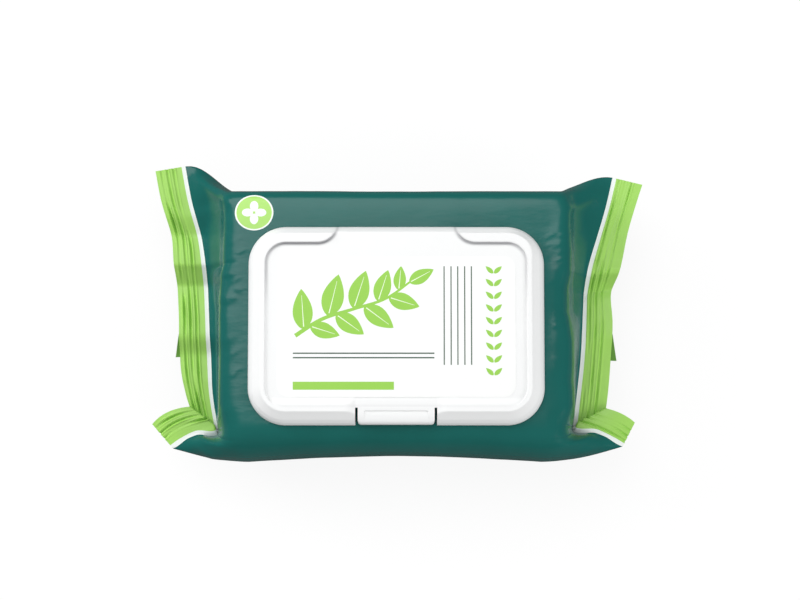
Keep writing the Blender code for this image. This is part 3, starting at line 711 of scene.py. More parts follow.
def badge_print(tree, place, ground):
    """Lays the badge's ellipses, on the side that faces up, over the colour below them."""
    for (x, y), (half_x, half_y), ink in BADGE:
        around = {
            "vector_type": "TEXTURE", "Location": (x * MM, y * MM, 0.0),
            "Scale": (half_x * MM, half_y * MM, 1.0),
        }
        shifted = add_node(tree, "Mapping", around, {"Vector": place})
        axes = add_node(tree, "SeparateXYZ", links={0: (shifted, 0)})
        flat = add_node(tree, "CombineXYZ", links={"X": (axes, "X"), "Y": (axes, "Y")})
        reach = add_node(tree, "VectorMath", {"operation": "LENGTH"}, {0: (flat, 0)})
        within = add_node(
            tree, "Math", {"operation": "LESS_THAN", 1: 1.0}, {0: (reach, "Value")}
        )
        above = add_node(
            tree, "Math", {"operation": "GREATER_THAN", 1: PACK_HEIGHT / 2}, {0: (axes, "Z")}
        )
        mask = add_node(tree, "Math", {"operation": "MULTIPLY"}, {0: (within, 0), 1: (above, 0)})
        ground = add_node(
            tree, "Mix", {"data_type": "RGBA", 7: from_hex(ink)}, {0: (mask, 0), 6: (ground, 2)}
        )
    return ground


# Sizes along each axis of the puckers that the tight film has, and of the crimping jaw's
# fine teeth in the green bands.
PUCKERS = (6.67 * MM, 2.38 * MM, 3.33 * MM)
JAW_TEETH = (0.714 * MM, 16.7 * MM, 16.7 * MM)


# Reverse-printed polyester laminate: the ink lies under clear film, so the colour is deep
# and the gloss is a satin one, broken by fine puckers that run along the web. The ink is
# clouded at about 22 mm.
def printed_laminate(name, colour, darker, roughness, relief=PUCKERS, over=None):
    return plastic(
        name, (darker, colour), (22.2 * MM, 3.0, 0.6), (relief, 2.0), (0.2, 0.3 * MM),
        {"Roughness": roughness, "IOR": 1.5}, over,
    )


teal_laminate = printed_laminate(
    "teal_printed_laminate", "15655F", "125B55", 0.24, over=badge_print
)
green_laminate = printed_laminate(
    "green_printed_laminate", "A5DA66", "9BD05C", 0.42, JAW_TEETH
)
white_laminate = printed_laminate("white_printed_laminate", "F0F5F1", "E6ECE8", 0.42)
seam_laminate = printed_laminate("green_laminate_in_the_seam", "5F9137", "578831", 0.45)
film_wrapper = piece(
    film_mesh, "pack", "printed_film", teal_laminate, green_laminate, white_laminate
)
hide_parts("film_pouch")

# Back seam
# Where the web's two edges are sealed to one another along the underside. The seam is
# folded flat against the pack, caught in both end seals, and its cut ends stand out a
# little behind the bands.

SEAM_REAR = -4.4 * MM
SEAM_FRONT = (-15.4 * MM, -17.2 * MM)
SEAM_REACH = (2.2 * MM, 2.9 * MM)
SEAM_THICKNESS = 0.22 * MM
SEAM_DROP = 1.0 * MM
SEAM_STEPS = 14
SEAM_CLEARANCE = 0.05 * MM
SEAM_LEVEL = 0.02 * MM

under = film_bottom - grid_normals(film_bottom) * SEAM_CLEARANCE
seam_rows = []
for row, line in enumerate(under):
    along = row / (row_count - 1)
    front = SEAM_FRONT[0] + (SEAM_FRONT[1] - SEAM_FRONT[0]) * along
    y = np.linspace(SEAM_REAR, front, SEAM_STEPS)
    band = line[BAND_STEPS::-1]
    x, z = (np.interp(y, band[:, 1], band[:, axis]) for axis in (0, 2))
    seam_rows.append(np.stack([x, y, z], axis=1))
slant = np.linspace(0, 1, SEAM_STEPS)


def seam_tip(row, side, reach, share):
    """The seam's cut end, which slants outwards and droops."""
    return row + np.stack([side * reach * slant, 0 * slant, -SEAM_DROP * slant], axis=1) * share


seam_middle = np.array(
    [seam_tip(seam_rows[0], -1, SEAM_REACH[0], share) for share in (1.0, 0.5)]
    + seam_rows
    + [seam_tip(seam_rows[-1], 1, SEAM_REACH[1], share) for share in (0.5, 1.0)]
)
seam_down = grid_normals(seam_middle) * SEAM_THICKNESS
seam_loops = np.concatenate([seam_middle, (seam_middle - seam_down)[:, ::-1]], axis=1)
seam_loops[..., 2] = np.maximum(seam_loops[..., 2], SEAM_LEVEL)
seam_mesh = loops_mesh("back_seam", seam_loops)
# The cut ends are two more rows at each end of the seam.
paint_bands(seam_mesh, 2 * SEAM_STEPS, row_count + 2, band_rows + 2)
tidy_mesh(seam_mesh, 60)
piece(seam_mesh, "pack", "printed_film", teal_laminate, seam_laminate, white_laminate)

# Resealable label over the wipes
# A die-cut film label with peelable adhesive that covers the opening inside the lid. Its
# pull tab carries no adhesive and stands up a little.

PEEL_LENGTH = 84 * MM
PEEL_WIDTH = 40 * MM
PEEL_CORNER = 12 * MM
PEEL_TAB_HALF = 9 * MM
PEEL_TAB_REACH = 4 * MM
PEEL_TAB_BEND = 2 * MM
PEEL_LIFT = 0.9 * MM
PEEL_LEVEL = PACK_HEIGHT + 0.3 * MM
PEEL_THICKNESS = 0.2 * MM
PEEL_WAVES = 0.12 * MM
PEEL_RINGS = np.linspace(0.04, 1, 18)


def rounded_outline(half_x, half_y, radius, centre_y, steps):
    """Anticlockwise outline of a rectangle with round corners, as many points for any size."""
    points = []
    for x_side, y_side, start in ((1, -1, -90), (1, 1, 0), (-1, 1, 90), (-1, -1, 180)):
        for step in range(steps + 1):
            angle = math.radians(start + 90 * step / steps)
            x = x_side * (half_x - radius) + radius * math.cos(angle)
            y = centre_y + y_side * (half_y - radius) + radius * math.sin(angle)
            points.append((x, y))
    return np.array(points)


def resample(outline, count):
    """Evenly spaced points along a closed outline."""
    closed = np.concatenate([outline, outline[:1]])
    lengths = np.linalg.norm(np.diff(closed, axis=0), axis=1)
    lengths = np.concatenate([[0], np.cumsum(lengths)])
    wanted = np.linspace(0, lengths[-1], count, endpoint=False)
    return np.stack([np.interp(wanted, lengths, closed[:, axis]) for axis in (0, 1)], axis=1)


peel_edge = rounded_outline(PEEL_LENGTH / 2, PEEL_WIDTH / 2, PEEL_CORNER, LID_CENTRE_Y, 16)
peel_edge = resample(peel_edge, 360)
on_tab = np.clip(1 - (peel_edge[:, 0] / PEEL_TAB_HALF) ** 2, 0, 1) ** 0.5
peel_edge[:, 1] -= np.where(peel_edge[:, 1] < LID_CENTRE_Y, on_tab, 0) * PEEL_TAB_REACH
peel_middle = np.array((0, LID_CENTRE_Y))
peel_front = LID_CENTRE_Y - PEEL_WIDTH / 2
peel_loops = []
for layer, shares in ((0, PEEL_RINGS), (1, PEEL_RINGS[::-1])):
    for share in shares:
        ring = peel_middle + (peel_edge - peel_middle) * share
        past = (peel_front + PEEL_TAB_BEND - ring[:, 1]) / (PEEL_TAB_REACH + PEEL_TAB_BEND)
        level = PEEL_LEVEL + layer * PEEL_THICKNESS + PEEL_LIFT * np.clip(past, 0, 1) ** 2
        wave = PEEL_WAVES * (noise_at(ring[:, 0] * 60, ring[:, 1] * 90, 3) + 0.5)
        peel_loops.append(np.column_stack([ring, level + np.maximum(wave, 0)]))
peel_mesh = loops_mesh("resealable_label", peel_loops)
tidy_mesh(peel_mesh, 50)


# White pigmented polypropylene film, thin enough to take the small waves of what lies
# under it, about 1 mm long, with a soft satin gloss.
def label_stock(name, colour, darker, roughness):
    return plastic(
        name, (darker, colour), (11.1 * MM, 2.0, 0.5), ((1.11 * MM,) * 3, 1.0),
        (0.06, 0.1 * MM), {"Roughness": roughness, "IOR": 1.49},
    )


peel_film = label_stock("peelable_label_film", "DDEBDD", "D3E3D4", 0.4)
resealable_label = piece(peel_mesh, "pack", "peel_film", peel_film)
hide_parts("peel_seal")

# Lid frame and hinge
# The frame is injection moulded in polypropylene in one shot with the cover and stuck to
# the film by its flange. A thin web along the rear edge is the hinge between the two.

HINGE_HALF_WIDTH = 26.5 * MM
lid_rear = LID_CENTRE_Y + LID_WIDTH / 2
lid_front = LID_CENTRE_Y - LID_WIDTH / 2
# Grey mixed into the cover's white along the gutter: painted shade at the foot of the rim's step.
PAINTED_SHADE_COLOUR = "8C8C90"


def with_painted_shade(tree, place, ground):
    """Lays painted shade over the colour, as much as the mesh's attribute of that name says."""
    painted_shade_amount = add_node(tree, "Attribute", {"attribute_name": "painted_gutter_shade"})
    return add_node(
        tree, "Mix", {"data_type": "RGBA", 7: from_hex(PAINTED_SHADE_COLOUR)},
        {0: (painted_shade_amount, "Fac"), 6: (ground, 2)},
    )


# Polypropylene from a spark-eroded mould: a satin white whose fine grain takes the edge
# off the highlights. The real grain is some hundredths of a mm and is drawn at 0.2 mm, so
# that it shows. White pigment makes the wall slightly uneven in brightness, light passes a
# little way into it, and painted shade greys it in the gutter of the cover.
def moulded_plastic(name, colour, darker, roughness):
    shader = {
        "Roughness": roughness, "IOR": 1.49, "Subsurface Weight": 0.1,
        "Subsurface Radius": (1.0, 1.0, 1.0), "Subsurface Scale": 1.5 * MM,
    }
    return plastic(
        name, (darker, colour), (45.5 * MM, 2.0, 0.5), ((0.2 * MM,) * 3, 1.0),
        (0.08, 0.05 * MM), shader, with_painted_shade,
    )


white_polypropylene = moulded_plastic("white_moulded_polypropylene", "EFF0F0", "ECEDED", 0.38)
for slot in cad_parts["lid_base"].material_slots:
    slot.material = white_polypropylene

# Section of the hinge as (y, z) in mm, from the frame up to the cover.
WEB_PATH = (
    (39.6, 50.8), (40.2, 50.78), (40.7, 50.8), (40.95, 51.1), (40.97, 51.6), (40.9, 52.3),
)
WEB_THICKNESS = 0.3 * MM


def square_to(line):
    """Unit vectors square to a line in a plane, on its left."""
    heading = unit(np.gradient(line, axis=0))
    return np.stack([-heading[:, 1], heading[:, 0]], axis=1)


def ribbon(name, path, thickness, half_width, steps, samples):
    """A strip along X whose section is a smooth path of (y, z) points in millimetres."""
    centre = curve_through(np.array(path) * MM, np.linspace(0, 1, samples))
    side = square_to(centre) * thickness / 2
    section = np.concatenate([centre + side, (centre - side)[::-1]])
    mesh = loops_mesh(name, [
        np.column_stack([np.full(len(section), x), section])
        for x in np.linspace(-half_width, half_width, steps)
    ])
    tidy_mesh(mesh, 50)
    return mesh


web_mesh = ribbon("hinge_web", WEB_PATH, WEB_THICKNESS, HINGE_HALF_WIDTH - MM, 40, 24)
hinge_web = piece(web_mesh, None, "moulded_polypropylene", white_polypropylene)
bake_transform(hinge_web)

# Lid cover
# One moulding: a steep skirt, a broad bevel up to a raised rim, and a field one
# millimetre lower that runs out over the hinge. A rib underneath closes on the window.

LID_HEIGHT = 8 * MM
SKIRT_GAP = 0.4 * MM
RIM_INSET = 7.7 * MM
STEP_RUN = 0.5 * MM
FIELD_DEPTH = 1.0 * MM
RIM_FILLET = 0.2 * MM
GUTTER_DEPTH = 1.0 * MM
GUTTER_FLOOR = 0.5 * MM
GUTTER_RISE = 0.6 * MM
GUTTER_FADE = 26 * MM
# The gutter's painted shade: how wide it is, and how far inside the field's edge its middle lies.
PAINTED_SHADE_WIDTH = 0.7 * MM
PAINTED_SHADE_PLACE = 0.15 * MM
# How much painted shade lies along the gutter, most at the rear and least on the right, as
# the light comes from behind and the left: places across the lid in mm and the share there,
# and where and how fast it thins out towards the hinge.
PAINTED_SHADE_ALONG = ((-60, -50, 50, 60), (0.4, 1.0, 0.85, 0.2))
PAINTED_SHADE_END = 33 * MM
PAINTED_SHADE_THINNING = 7 * MM
PLATE_THICKNESS = 1.2 * MM
RAMP_INSET = 8.8 * MM
RAMP_RUN = 3.0 * MM
TAB_ZONE_RUN = 2.8 * MM
TAB_ZONE_FILLET = 0.5 * MM
HINGE_FLARE = 9 * MM
TAB_WIDTH = 34.2 * MM
SLOT_WIDTH = 1.15 * MM
SLOT_LENGTH = 7.6 * MM
WINDOW_LENGTH = 96 * MM
WINDOW_WIDTH = 54 * MM
WINDOW_CORNER = 16 * MM
RIB_CLEARANCE = 0.4 * MM
RIB_THICKNESS = 1.0 * MM
RIB_DEPTH = 3.2 * MM
# How much steeper than elsewhere the bevel is along the hinge.
REAR_STEEPNESS = 0.6
# The skirt's lowest edge, up to this inset, stays sharp; above it the corners are eased.
SHARP_EDGE = 0.15 * MM
# What is cut away under the hinge web, how high over the film the notch's cutter stands,
# and how far the cutters reach past the lid's edge and below the film's level.
HINGE_ROOM_DEPTH = 3.9 * MM
HINGE_ROOM_HEIGHT = 1.6 * MM
NOTCH_TOP = 12 * MM
CUT_MARGIN = 5 * MM
# Outside of the skirt and the bevel: inset from the lid's outline, and height, in mm.
SKIRT = (
    (-1, -2.0), (0.0, 0.4), (0.2, 1.6), (0.9, 3.2), (2.2, 4.88), (5.0, 7.2), (5.6, 7.76),
    (6.0, 8.0), (90, 8.0),
)
# How finely that line is read in mm, over how many steps on each side its corners are eased,
# and how fast those count for less.
SKIRT_STEP = 0.02
EASING_STEPS = 15
EASING_SPREAD = 6.0
# Inside of the wall, from the lower edge to the flat ceiling and some way along it.
HOLLOW = ((1.3, 0.4), (1.5, 1.17), (2.2, 2.77), (3.5, 4.45), (5.45, 5.8), (15.4, 5.8))
field_level = PACK_HEIGHT + LID_HEIGHT - FIELD_DEPTH
notch_half = TAB_WIDTH / 2 + SLOT_WIDTH


def steps_between(*stops):
    """Places from stop to stop, each with its own step, all in millimetres."""
    places = []
    for (start, step), (end, _) in zip(stops, stops[1:]):
        count = max(int(round((end - start) / step)), 1)
        places += list(np.linspace(start, end, count, endpoint=False))
    return np.array(places + [stops[-1][0]]) * MM


def both_ways(places):
    return np.concatenate([-places[:0:-1], places])


long_run = both_ways(
    steps_between((0, 1.5), (16.5, 0.22), (20.3, 1.0), (25.5, 0.35), (36.5, 1.3), (49.5, 1))
)
short_run = np.linspace(-1, 1, 40) * (LID_WIDTH / 2 - LID_CORNER)
INSETS = steps_between(
    (0, 0.1), (0.4, 0.2), (5.2, 0.12), (6.6, 0.2), (7.2, 0.1), (9.4, 0.25), (13.3, 0.6), (15.4, 1)
)


def lid_loop(inset):
    """One loop of the cover at a distance inside its outline, anticlockwise."""
    radius = LID_CORNER - inset
    half_x = LID_LENGTH / 2 - LID_CORNER
    half_y = LID_WIDTH / 2 - LID_CORNER
    turn = np.radians(np.linspace(0, 90, 25)[:-1])
    parts = []
    sides = (
        (half_x, -half_y, -90, [(half_x + radius, y) for y in short_run[:-1]]),
        (half_x, half_y, 0, [(x, half_y + radius) for x in long_run[:0:-1]]),
        (-half_x, half_y, 90, [(-half_x - radius, y) for y in short_run[:0:-1]]),
        (-half_x, -half_y, 180, [(x, -half_y - radius) for x in long_run[:-1]]),
    )
    for x, y, start, straight in sides:
        angle = turn + math.radians(start)
        parts.append(np.column_stack([x + radius * np.cos(angle), y + radius * np.sin(angle)]))
        parts.append(straight)
    return np.concatenate(parts) + (0, LID_CENTRE_Y)


def outline_distance(points, outline):
    """Distance from a closed outline, negative inside it."""
    best = np.full(len(points), 1.0)
    inside = np.zeros(len(points), bool)
    for start, end in zip(outline, np.roll(outline, -1, axis=0)):
        run = end - start
        gap = points - start
        along = np.clip(gap @ run / max(run @ run, 1e-16), 0, 1)
        best = np.minimum(best, np.linalg.norm(gap - along[:, None] * run, axis=1))
        crosses = (start[1] > points[:, 1]) != (end[1] > points[:, 1])
        if start[1] != end[1]:
            meets = start[0] + (points[:, 1] - start[1]) / (end[1] - start[1]) * run[0]
            inside ^= crosses & (points[:, 0] < meets)
    return np.where(inside, -best, best)


def lower_of(one, other, fillet):
    """The lower of two surfaces, with a fillet where they meet."""
    blend = np.maximum(fillet - np.abs(one - other), 0) / fillet
    return np.minimum(one, other) - blend * blend * fillet / 4


def field_outline():
    """Outline of the lowered field, with the channel that flares out over the hinge."""
    inset = RIM_INSET + STEP_RUN
    half_x = LID_LENGTH / 2 - inset
    half_y = LID_WIDTH / 2 - inset
    outline = rounded_outline(half_x, half_y, LID_CORNER - inset, LID_CENTRE_Y, 24)
    angle = np.radians(np.linspace(90, 0, 25))
    x = HINGE_HALF_WIDTH + HINGE_FLARE * (1 - np.cos(angle))
    channel = np.column_stack([x, lid_rear - inset * np.sin(angle)])
    channel = np.concatenate([channel, [(HINGE_HALF_WIDTH, lid_rear + CUT_MARGIN)]])
    return np.concatenate([outline[:50], channel, channel[::-1] * (-1, 1), outline[50:]])


def skirt_height(points, inset):
    """Height of the skirt and the bevel, with the table's corners eased above the edge."""
    table = np.arange(-0.6, 20, SKIRT_STEP)
    raw = np.interp(table, *np.transpose(SKIRT))
    window = np.exp(-(np.arange(-EASING_STEPS, EASING_STEPS + 1) / EASING_SPREAD) ** 2)
    padded = np.pad(raw, EASING_STEPS, mode="edge")
    eased = np.convolve(padded, window / window.sum(), mode="valid")
    behind = (points[:, 1] - lid_rear + LID_CORNER) / (0.7 * LID_CORNER)
    place = inset / MM * (1 + REAR_STEEPNESS * smooth(behind))
    if inset < SHARP_EDGE:
        return np.full(len(points), np.interp(inset / MM, table, raw) * MM)
    return np.interp(place, table, eased) * MM


def cover_height(points, inset):
    """Height of the cover's outside over the film, from the surfaces that bound it."""
    low = LID_HEIGHT - FIELD_DEPTH
    beyond = outline_distance(points, field_outline())
    dip = GUTTER_DEPTH * (0.25 + 0.75 * smooth(points[:, 1] / GUTTER_FADE))
    slope = (FIELD_DEPTH + dip) / STEP_RUN
    gutter = dip * np.exp(-(np.minimum(beyond + GUTTER_FLOOR, 0) / GUTTER_RISE) ** 2)
    field = low - gutter + np.maximum(beyond, 0) * slope
    past = lid_front + RAMP_INSET + RAMP_RUN - points[:, 1]
    ramp = low + np.maximum(past, 0) * FIELD_DEPTH / RAMP_RUN
    recess = -lower_of(-field, -ramp, RIM_FILLET)
    beside = np.maximum(np.abs(points[:, 0]) - notch_half, -past)
    tab_zone = low + np.maximum(beside, 0) * FIELD_DEPTH / TAB_ZONE_RUN
    bevel = lower_of(skirt_height(points, inset), recess, RIM_FILLET)
    return lower_of(bevel, tab_zone, TAB_ZONE_FILLET)


def painted_gutter_shade(points):
    """How much painted shade lies in the gutter, which is deepest towards the hinge."""
    beyond = outline_distance(points[:, :2], field_outline())
    thinned = 1 - 0.6 * smooth((points[:, 1] - PAINTED_SHADE_END) / PAINTED_SHADE_THINNING)
    deep = 0.1 + 0.9 * smooth(points[:, 1] / GUTTER_FADE) * thinned
    along = np.interp(points[:, 0] / MM, *PAINTED_SHADE_ALONG)
    return deep * along * np.exp(-((beyond + PAINTED_SHADE_PLACE) / PAINTED_SHADE_WIDTH) ** 2)


def raised(flat, level):
    """Flat points at a level, or each at its own."""
    return np.column_stack([flat, np.broadcast_to(level, len(flat))])


outer_loops = []
for inset in INSETS:
    flat = lid_loop(inset)
    outer_loops.append(raised(flat, PACK_HEIGHT + cover_height(flat, inset)))
inner_loops = [raised(lid_loop(inset * MM), PACK_HEIGHT + height * MM) for inset, height in HOLLOW]
cover_mesh = loops_mesh("flip_cover", inner_loops[::-1] + outer_loops)
# The painted shade lies on the outside alone.
painted_shade_amounts = painted_gutter_shade(np.concatenate(inner_loops[::-1] + outer_loops))
painted_shade_amounts[:-sum(map(len, outer_loops))] = 0
cover_mesh.attributes.new("painted_gutter_shade", "FLOAT", "POINT").data.foreach_set("value", painted_shade_amounts)


def box_cutter(name, low, high):
    corners = [(low[0], low[1]), (high[0], low[1]), (high[0], high[1]), (low[0], high[1])]
    return add_object(name, loops_mesh(name, [raised(corners, z) for z in (low[2], high[2])]))


def carve(mesh, cutters):
    """Takes the cutters out of the mesh and deletes them."""
    target = add_object("carving", mesh)
    for cutter in cutters:
        step = target.modifiers.new(cutter.name, "BOOLEAN")
        step.operation = "DIFFERENCE"
        step.solver = "EXACT"
        step.object = cutter
    ready = target.evaluated_get(bpy.context.evaluated_depsgraph_get())
    carved = bpy.data.meshes.new_from_object(ready)
    name = mesh.name
    for item in [target] + cutters:
        bpy.data.objects.remove(item)
    bpy.data.meshes.remove(mesh)
    carved.name = name
    return carved


room_half = HINGE_HALF_WIDTH + SLOT_WIDTH
below = PACK_HEIGHT - CUT_MARGIN
cover_mesh = carve(cover_mesh, [
    box_cutter(
        "notch", (-notch_half, lid_front - CUT_MARGIN, below),
        (notch_half, lid_front + SLOT_LENGTH, PACK_HEIGHT + NOTCH_TOP),
    ),
    box_cutter(
        "hinge_room", (-room_half, lid_rear - HINGE_ROOM_DEPTH, below),
        (room_half, lid_rear + CUT_MARGIN, PACK_HEIGHT + HINGE_ROOM_HEIGHT),
    ),
])
bpy.context.view_layer.update()

# The rib's section: how far in from its outside, and height over the cover's ceiling.
ceiling = field_level - PLATE_THICKNESS
rib_section = (
    (0, 0.4 * MM), (0, 0.7 * MM - RIB_DEPTH), (0.25 * MM, -RIB_DEPTH),
    (RIB_THICKNESS - 0.2 * MM, -RIB_DEPTH), (RIB_THICKNESS, 0.25 * MM - RIB_DEPTH),
    (RIB_THICKNESS, 0.4 * MM), (0, 0.4 * MM),
)
rib_loops = []
for into, height in rib_section:
    inset = RIB_CLEARANCE + into
    flat = rounded_outline(
        WINDOW_LENGTH / 2 - inset, WINDOW_WIDTH / 2 - inset, WINDOW_CORNER - inset,
        LID_CENTRE_Y, 20,
    )
    rib_loops.append(raised(flat, ceiling + height))


def join(first, second):
    """Adds the second mesh's faces to the first."""
    body = bmesh.new()
    body.from_mesh(first)
    body.from_mesh(second)
    body.to_mesh(first)
    body.free()


join(cover_mesh, loops_mesh("sealing_rib", rib_loops, capped=False))
tidy_mesh(cover_mesh, 42)
flip_cover = piece(cover_mesh, "cover", "moulded_polypropylene", white_polypropylene)
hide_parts("lid_cover")

# Thumb tab
# The middle of the cover's front wall, freed by a slot on each side so that it springs.
# A shallow scoop gives the thumb hold, and a hook behind catches the frame's bar.

# The tab's outside: distance from the lid's front, and depth below the field, in mm.
TAB_CURVE = (
    (7.3, 0.0), (5.2, 0.08), (3.4, 0.4), (1.4, 1.15), (0.45, 2.2), (0.2, 3.4), (0.2, 6.6),
)
# Depth of the scoop under the tab's outside, against the distance from the lid's front.
SCOOP = ((1.0, -0.1), (1.6, 0.0), (2.6, 0.08), (4.4, 0.32), (6.2, 0.62))
SCOOP_HALF = TAB_WIDTH / 2 - 3.0 * MM
SCOOP_REAR = 6.2 * MM
SCOOP_FILLET = 0.1 * MM
# How steeply the scoop runs out behind and at its sides.
SCOOP_REAR_SLOPE = 5
SCOOP_SIDE_SLOPE = 3
TAB_CORNER = 1.5 * MM
CORNER_REACH = 2.5 * MM
# The hook's section: distance from the lid's front, and height over the film, in mm.
HOOK = ((0.8, 2.2), (8.9, 2.2), (9.1, 2.4), (9.1, 3.2), (8.9, 3.4), (0.8, 3.4))
HOOK_HALF = 10 * MM
HOOK_CHAMFER = 0.2 * MM
HOOK_END_SHARE = 0.9

spans = len(TAB_CURVE) - 1
tab_shares = np.concatenate([np.linspace(0, 1, 26)[:-1], np.linspace(1, spans, 66)]) / spans
tab_outer = curve_through(np.array(TAB_CURVE) * MM, tab_shares) * (1, -1)
tab_inner = tab_outer + square_to(tab_outer) * PLATE_THICKNESS
scooped = tab_outer[:, 1] - np.interp(tab_outer[:, 0] / MM, *np.transpose(SCOOP)) * MM
scooped += np.maximum(tab_outer[:, 0] - SCOOP_REAR, 0) * SCOOP_REAR_SLOPE
tab_loops = []
for x in both_ways(steps_between((0, 1.2), (13.2, 0.1), (14.8, 0.25), (17.1, 1))):
    scoop = scooped + max(abs(x) - SCOOP_HALF, 0) * SCOOP_SIDE_SLOPE
    outside = np.column_stack([tab_outer[:, 0], lower_of(tab_outer[:, 1], scoop, SCOOP_FILLET)])
    section = np.concatenate([outside, tab_inner[::-1]])
    over = max(abs(x) - TAB_WIDTH / 2 + TAB_CORNER, 0)
    pulled = TAB_CORNER - math.sqrt(TAB_CORNER ** 2 - over ** 2)
    y = lid_front + section[:, 0] + pulled * np.clip(1 - section[:, 0] / CORNER_REACH, 0, 1)
    z = np.maximum(field_level + section[:, 1], PACK_HEIGHT + SKIRT_GAP + pulled)
    tab_loops.append(np.column_stack([np.full(len(section), x), y, z]))
tab_mesh = loops_mesh("thumb_tab", tab_loops)
hook_loops = []
hook_middle = np.mean(HOOK, axis=0)
for x in (-HOOK_HALF, -HOOK_HALF + HOOK_CHAMFER, HOOK_HALF - HOOK_CHAMFER, HOOK_HALF):
    shrink = HOOK_END_SHARE if abs(x) == HOOK_HALF else 1.0
    section = (np.array(HOOK) - hook_middle) * shrink + hook_middle
    hook_loops.append([(x, lid_front + y * MM, PACK_HEIGHT + z * MM) for y, z in section])
join(tab_mesh, loops_mesh("hook", hook_loops))
tidy_mesh(tab_mesh, 42)
thumb_tab = piece(tab_mesh, "tab", "moulded_polypropylene", white_polypropylene)
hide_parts("latch_tab")

# The flexible root between the cover and the tab, as (y, z) in mm.
ROOT_PATH = ((-39.6, 56.68), (-40.1, 56.7), (-40.6, 56.71), (-41.1, 56.7), (-41.5, 56.68))
ROOT_THICKNESS = 0.6 * MM
root_mesh = ribbon("tab_root", ROOT_PATH, ROOT_THICKNESS, TAB_WIDTH / 2, 60, 14)
tab_root = piece(root_mesh, None, "moulded_polypropylene", white_polypropylene)
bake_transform(tab_root)

# Cover label
# A printed film label in the cover's field. The print is a leaf sprig, fine upright
# lines, a column of small leaves and plain rules, in a bright green and a grey green.

LABEL_LENGTH = 106.5 * MM
LABEL_WIDTH = 63.1 * MM
LABEL_CORNER = 5.4 * MM
LABEL_INSET = 12.3 * MM
LABEL_CENTRE_Y = lid_front + LABEL_INSET + LABEL_WIDTH / 2
LABEL_BOTTOM = field_level - 0.1 * MM
LABEL_TOP = field_level + 0.15 * MM
GREEN_INK = 1
DARK_INK = 2
PALE_INK = 3


def leaf(base, tip, width):
    """Outline of a pointed leaf from its base to its tip, in millimetres."""
    base = np.array(base, float)
    run = np.array(tip, float) - base
    across = np.array((-run[1], run[0])) / np.linalg.norm(run)
    share = np.linspace(0, 1, 16)
    half = width / 2 * np.sin(np.pi * share ** 0.8) ** 0.85
    right = [base + run * s - across * h for s, h in zip(share, half)]
    left = [base + run * s + across * h for s, h in zip(share[-2:0:-1], half[-2:0:-1])]
    return right + left


def bar(x_low, x_high, y_low, y_high):
    return [(x_low, y_low), (x_high, y_low), (x_high, y_high), (x_low, y_high)]


def stroke(path, width_start, width_end, samples=30):
    """Outline of a tapering line drawn along a smooth path."""
    centre = curve_through(path, np.linspace(0, 1, samples))
    half = np.linspace(width_start, width_end, samples)[:, None] / 2
    across = square_to(centre) * half
    return list(centre - across) + list((centre + across)[::-1])


# The print's places and widths are all in mm. The sprig's stem, with its widths at both ends.
STEM = ((-45.0, -8.5), (-33.0, -1.0), (-19.0, 3.5), (-5.0, 8.0), (6.0, 15.5))
STEM_WIDTHS = (1.9, 0.9)
# Leaves of the sprig: share of the way along the stem, side, length, width and angle.
LEAVES = (
    (0.10, 1, 18.5, 9.0, 60), (0.15, -1, 14.0, 7.2, 50),
    (0.30, 1, 19.5, 9.8, 57), (0.36, -1, 15.5, 8.2, 52),
    (0.50, 1, 18.0, 9.0, 55), (0.58, -1, 16.5, 8.4, 52),
    (0.69, 1, 15.0, 7.6, 52), (0.78, -1, 14.5, 7.6, 48),
    (0.87, 1, 11.0, 5.6, 48), (0.99, -1, 12.5, 6.2, 8),
)
# The pale vein in each leaf: its ends as shares of the leaf's length, and its widths there.
VEIN_ENDS = (0.08, 0.84)
VEIN_WIDTHS = (0.5, 0.16)
# The upright lines' places along the label, their width and their two ends.
UPRIGHT_LINES = (21.4, 24.5, 27.5, 30.6, 33.6)
LINE_WIDTH = 0.5
LINE_ENDS = (-21.5, 22.7)
# Pairs of small leaves up the label's right side: their number, first place and pitch.
LEAF_PAIRS = 9
FIRST_PAIR = -24.5
PAIR_PITCH = 5.7
# The two leaves of a pair: root and tip along the label, half the rise between, and width.
PAIR_LEAVES = ((43.4, 40.0), (43.7, 47.2))
PAIR_RISE = 1.6
PAIR_WIDTH = 2.0
# Plain rules: ink, ends along the label, and lower and upper edge.
RULES = (
    (DARK_INK, -46, 17, -16.6, -16.0),
    (DARK_INK, -46, 17, -18.6, -18.0),
    (GREEN_INK, -46, -1, -32.6, -29.0),
)


def label_print():
    """The printed shapes as (ink, outline), each over the ones before it."""
    shapes = [(GREEN_INK, stroke(STEM, *STEM_WIDTHS))]
    for share, side, length, width, angle in LEAVES:
        places = np.array((share - 0.03, share, share + 0.02))
        behind, base, ahead = curve_through(STEM, places)
        along = base - behind if places[2] > 1 else ahead - base
        turn = math.atan2(along[1], along[0]) + side * math.radians(angle)
        tip = base + length * np.array((math.cos(turn), math.sin(turn)))
        shapes.append((GREEN_INK, leaf(base, tip, width)))
        vein_start, vein_end = (base + (tip - base) * end for end in VEIN_ENDS)
        vein = [vein_start, (vein_start + vein_end) / 2, vein_end]
        shapes.append((PALE_INK, stroke(vein, *VEIN_WIDTHS, 8)))
    for x in UPRIGHT_LINES:
        shapes.append((DARK_INK, bar(x - LINE_WIDTH / 2, x + LINE_WIDTH / 2, *LINE_ENDS)))
    for step in range(LEAF_PAIRS):
        y = FIRST_PAIR + step * PAIR_PITCH
        for root, end in PAIR_LEAVES:
            small = leaf((root, y - PAIR_RISE), (end, y + PAIR_RISE), PAIR_WIDTH)
            shapes.append((GREEN_INK, small))
    shapes += [(ink, bar(*edges)) for ink, *edges in RULES]
    return shapes


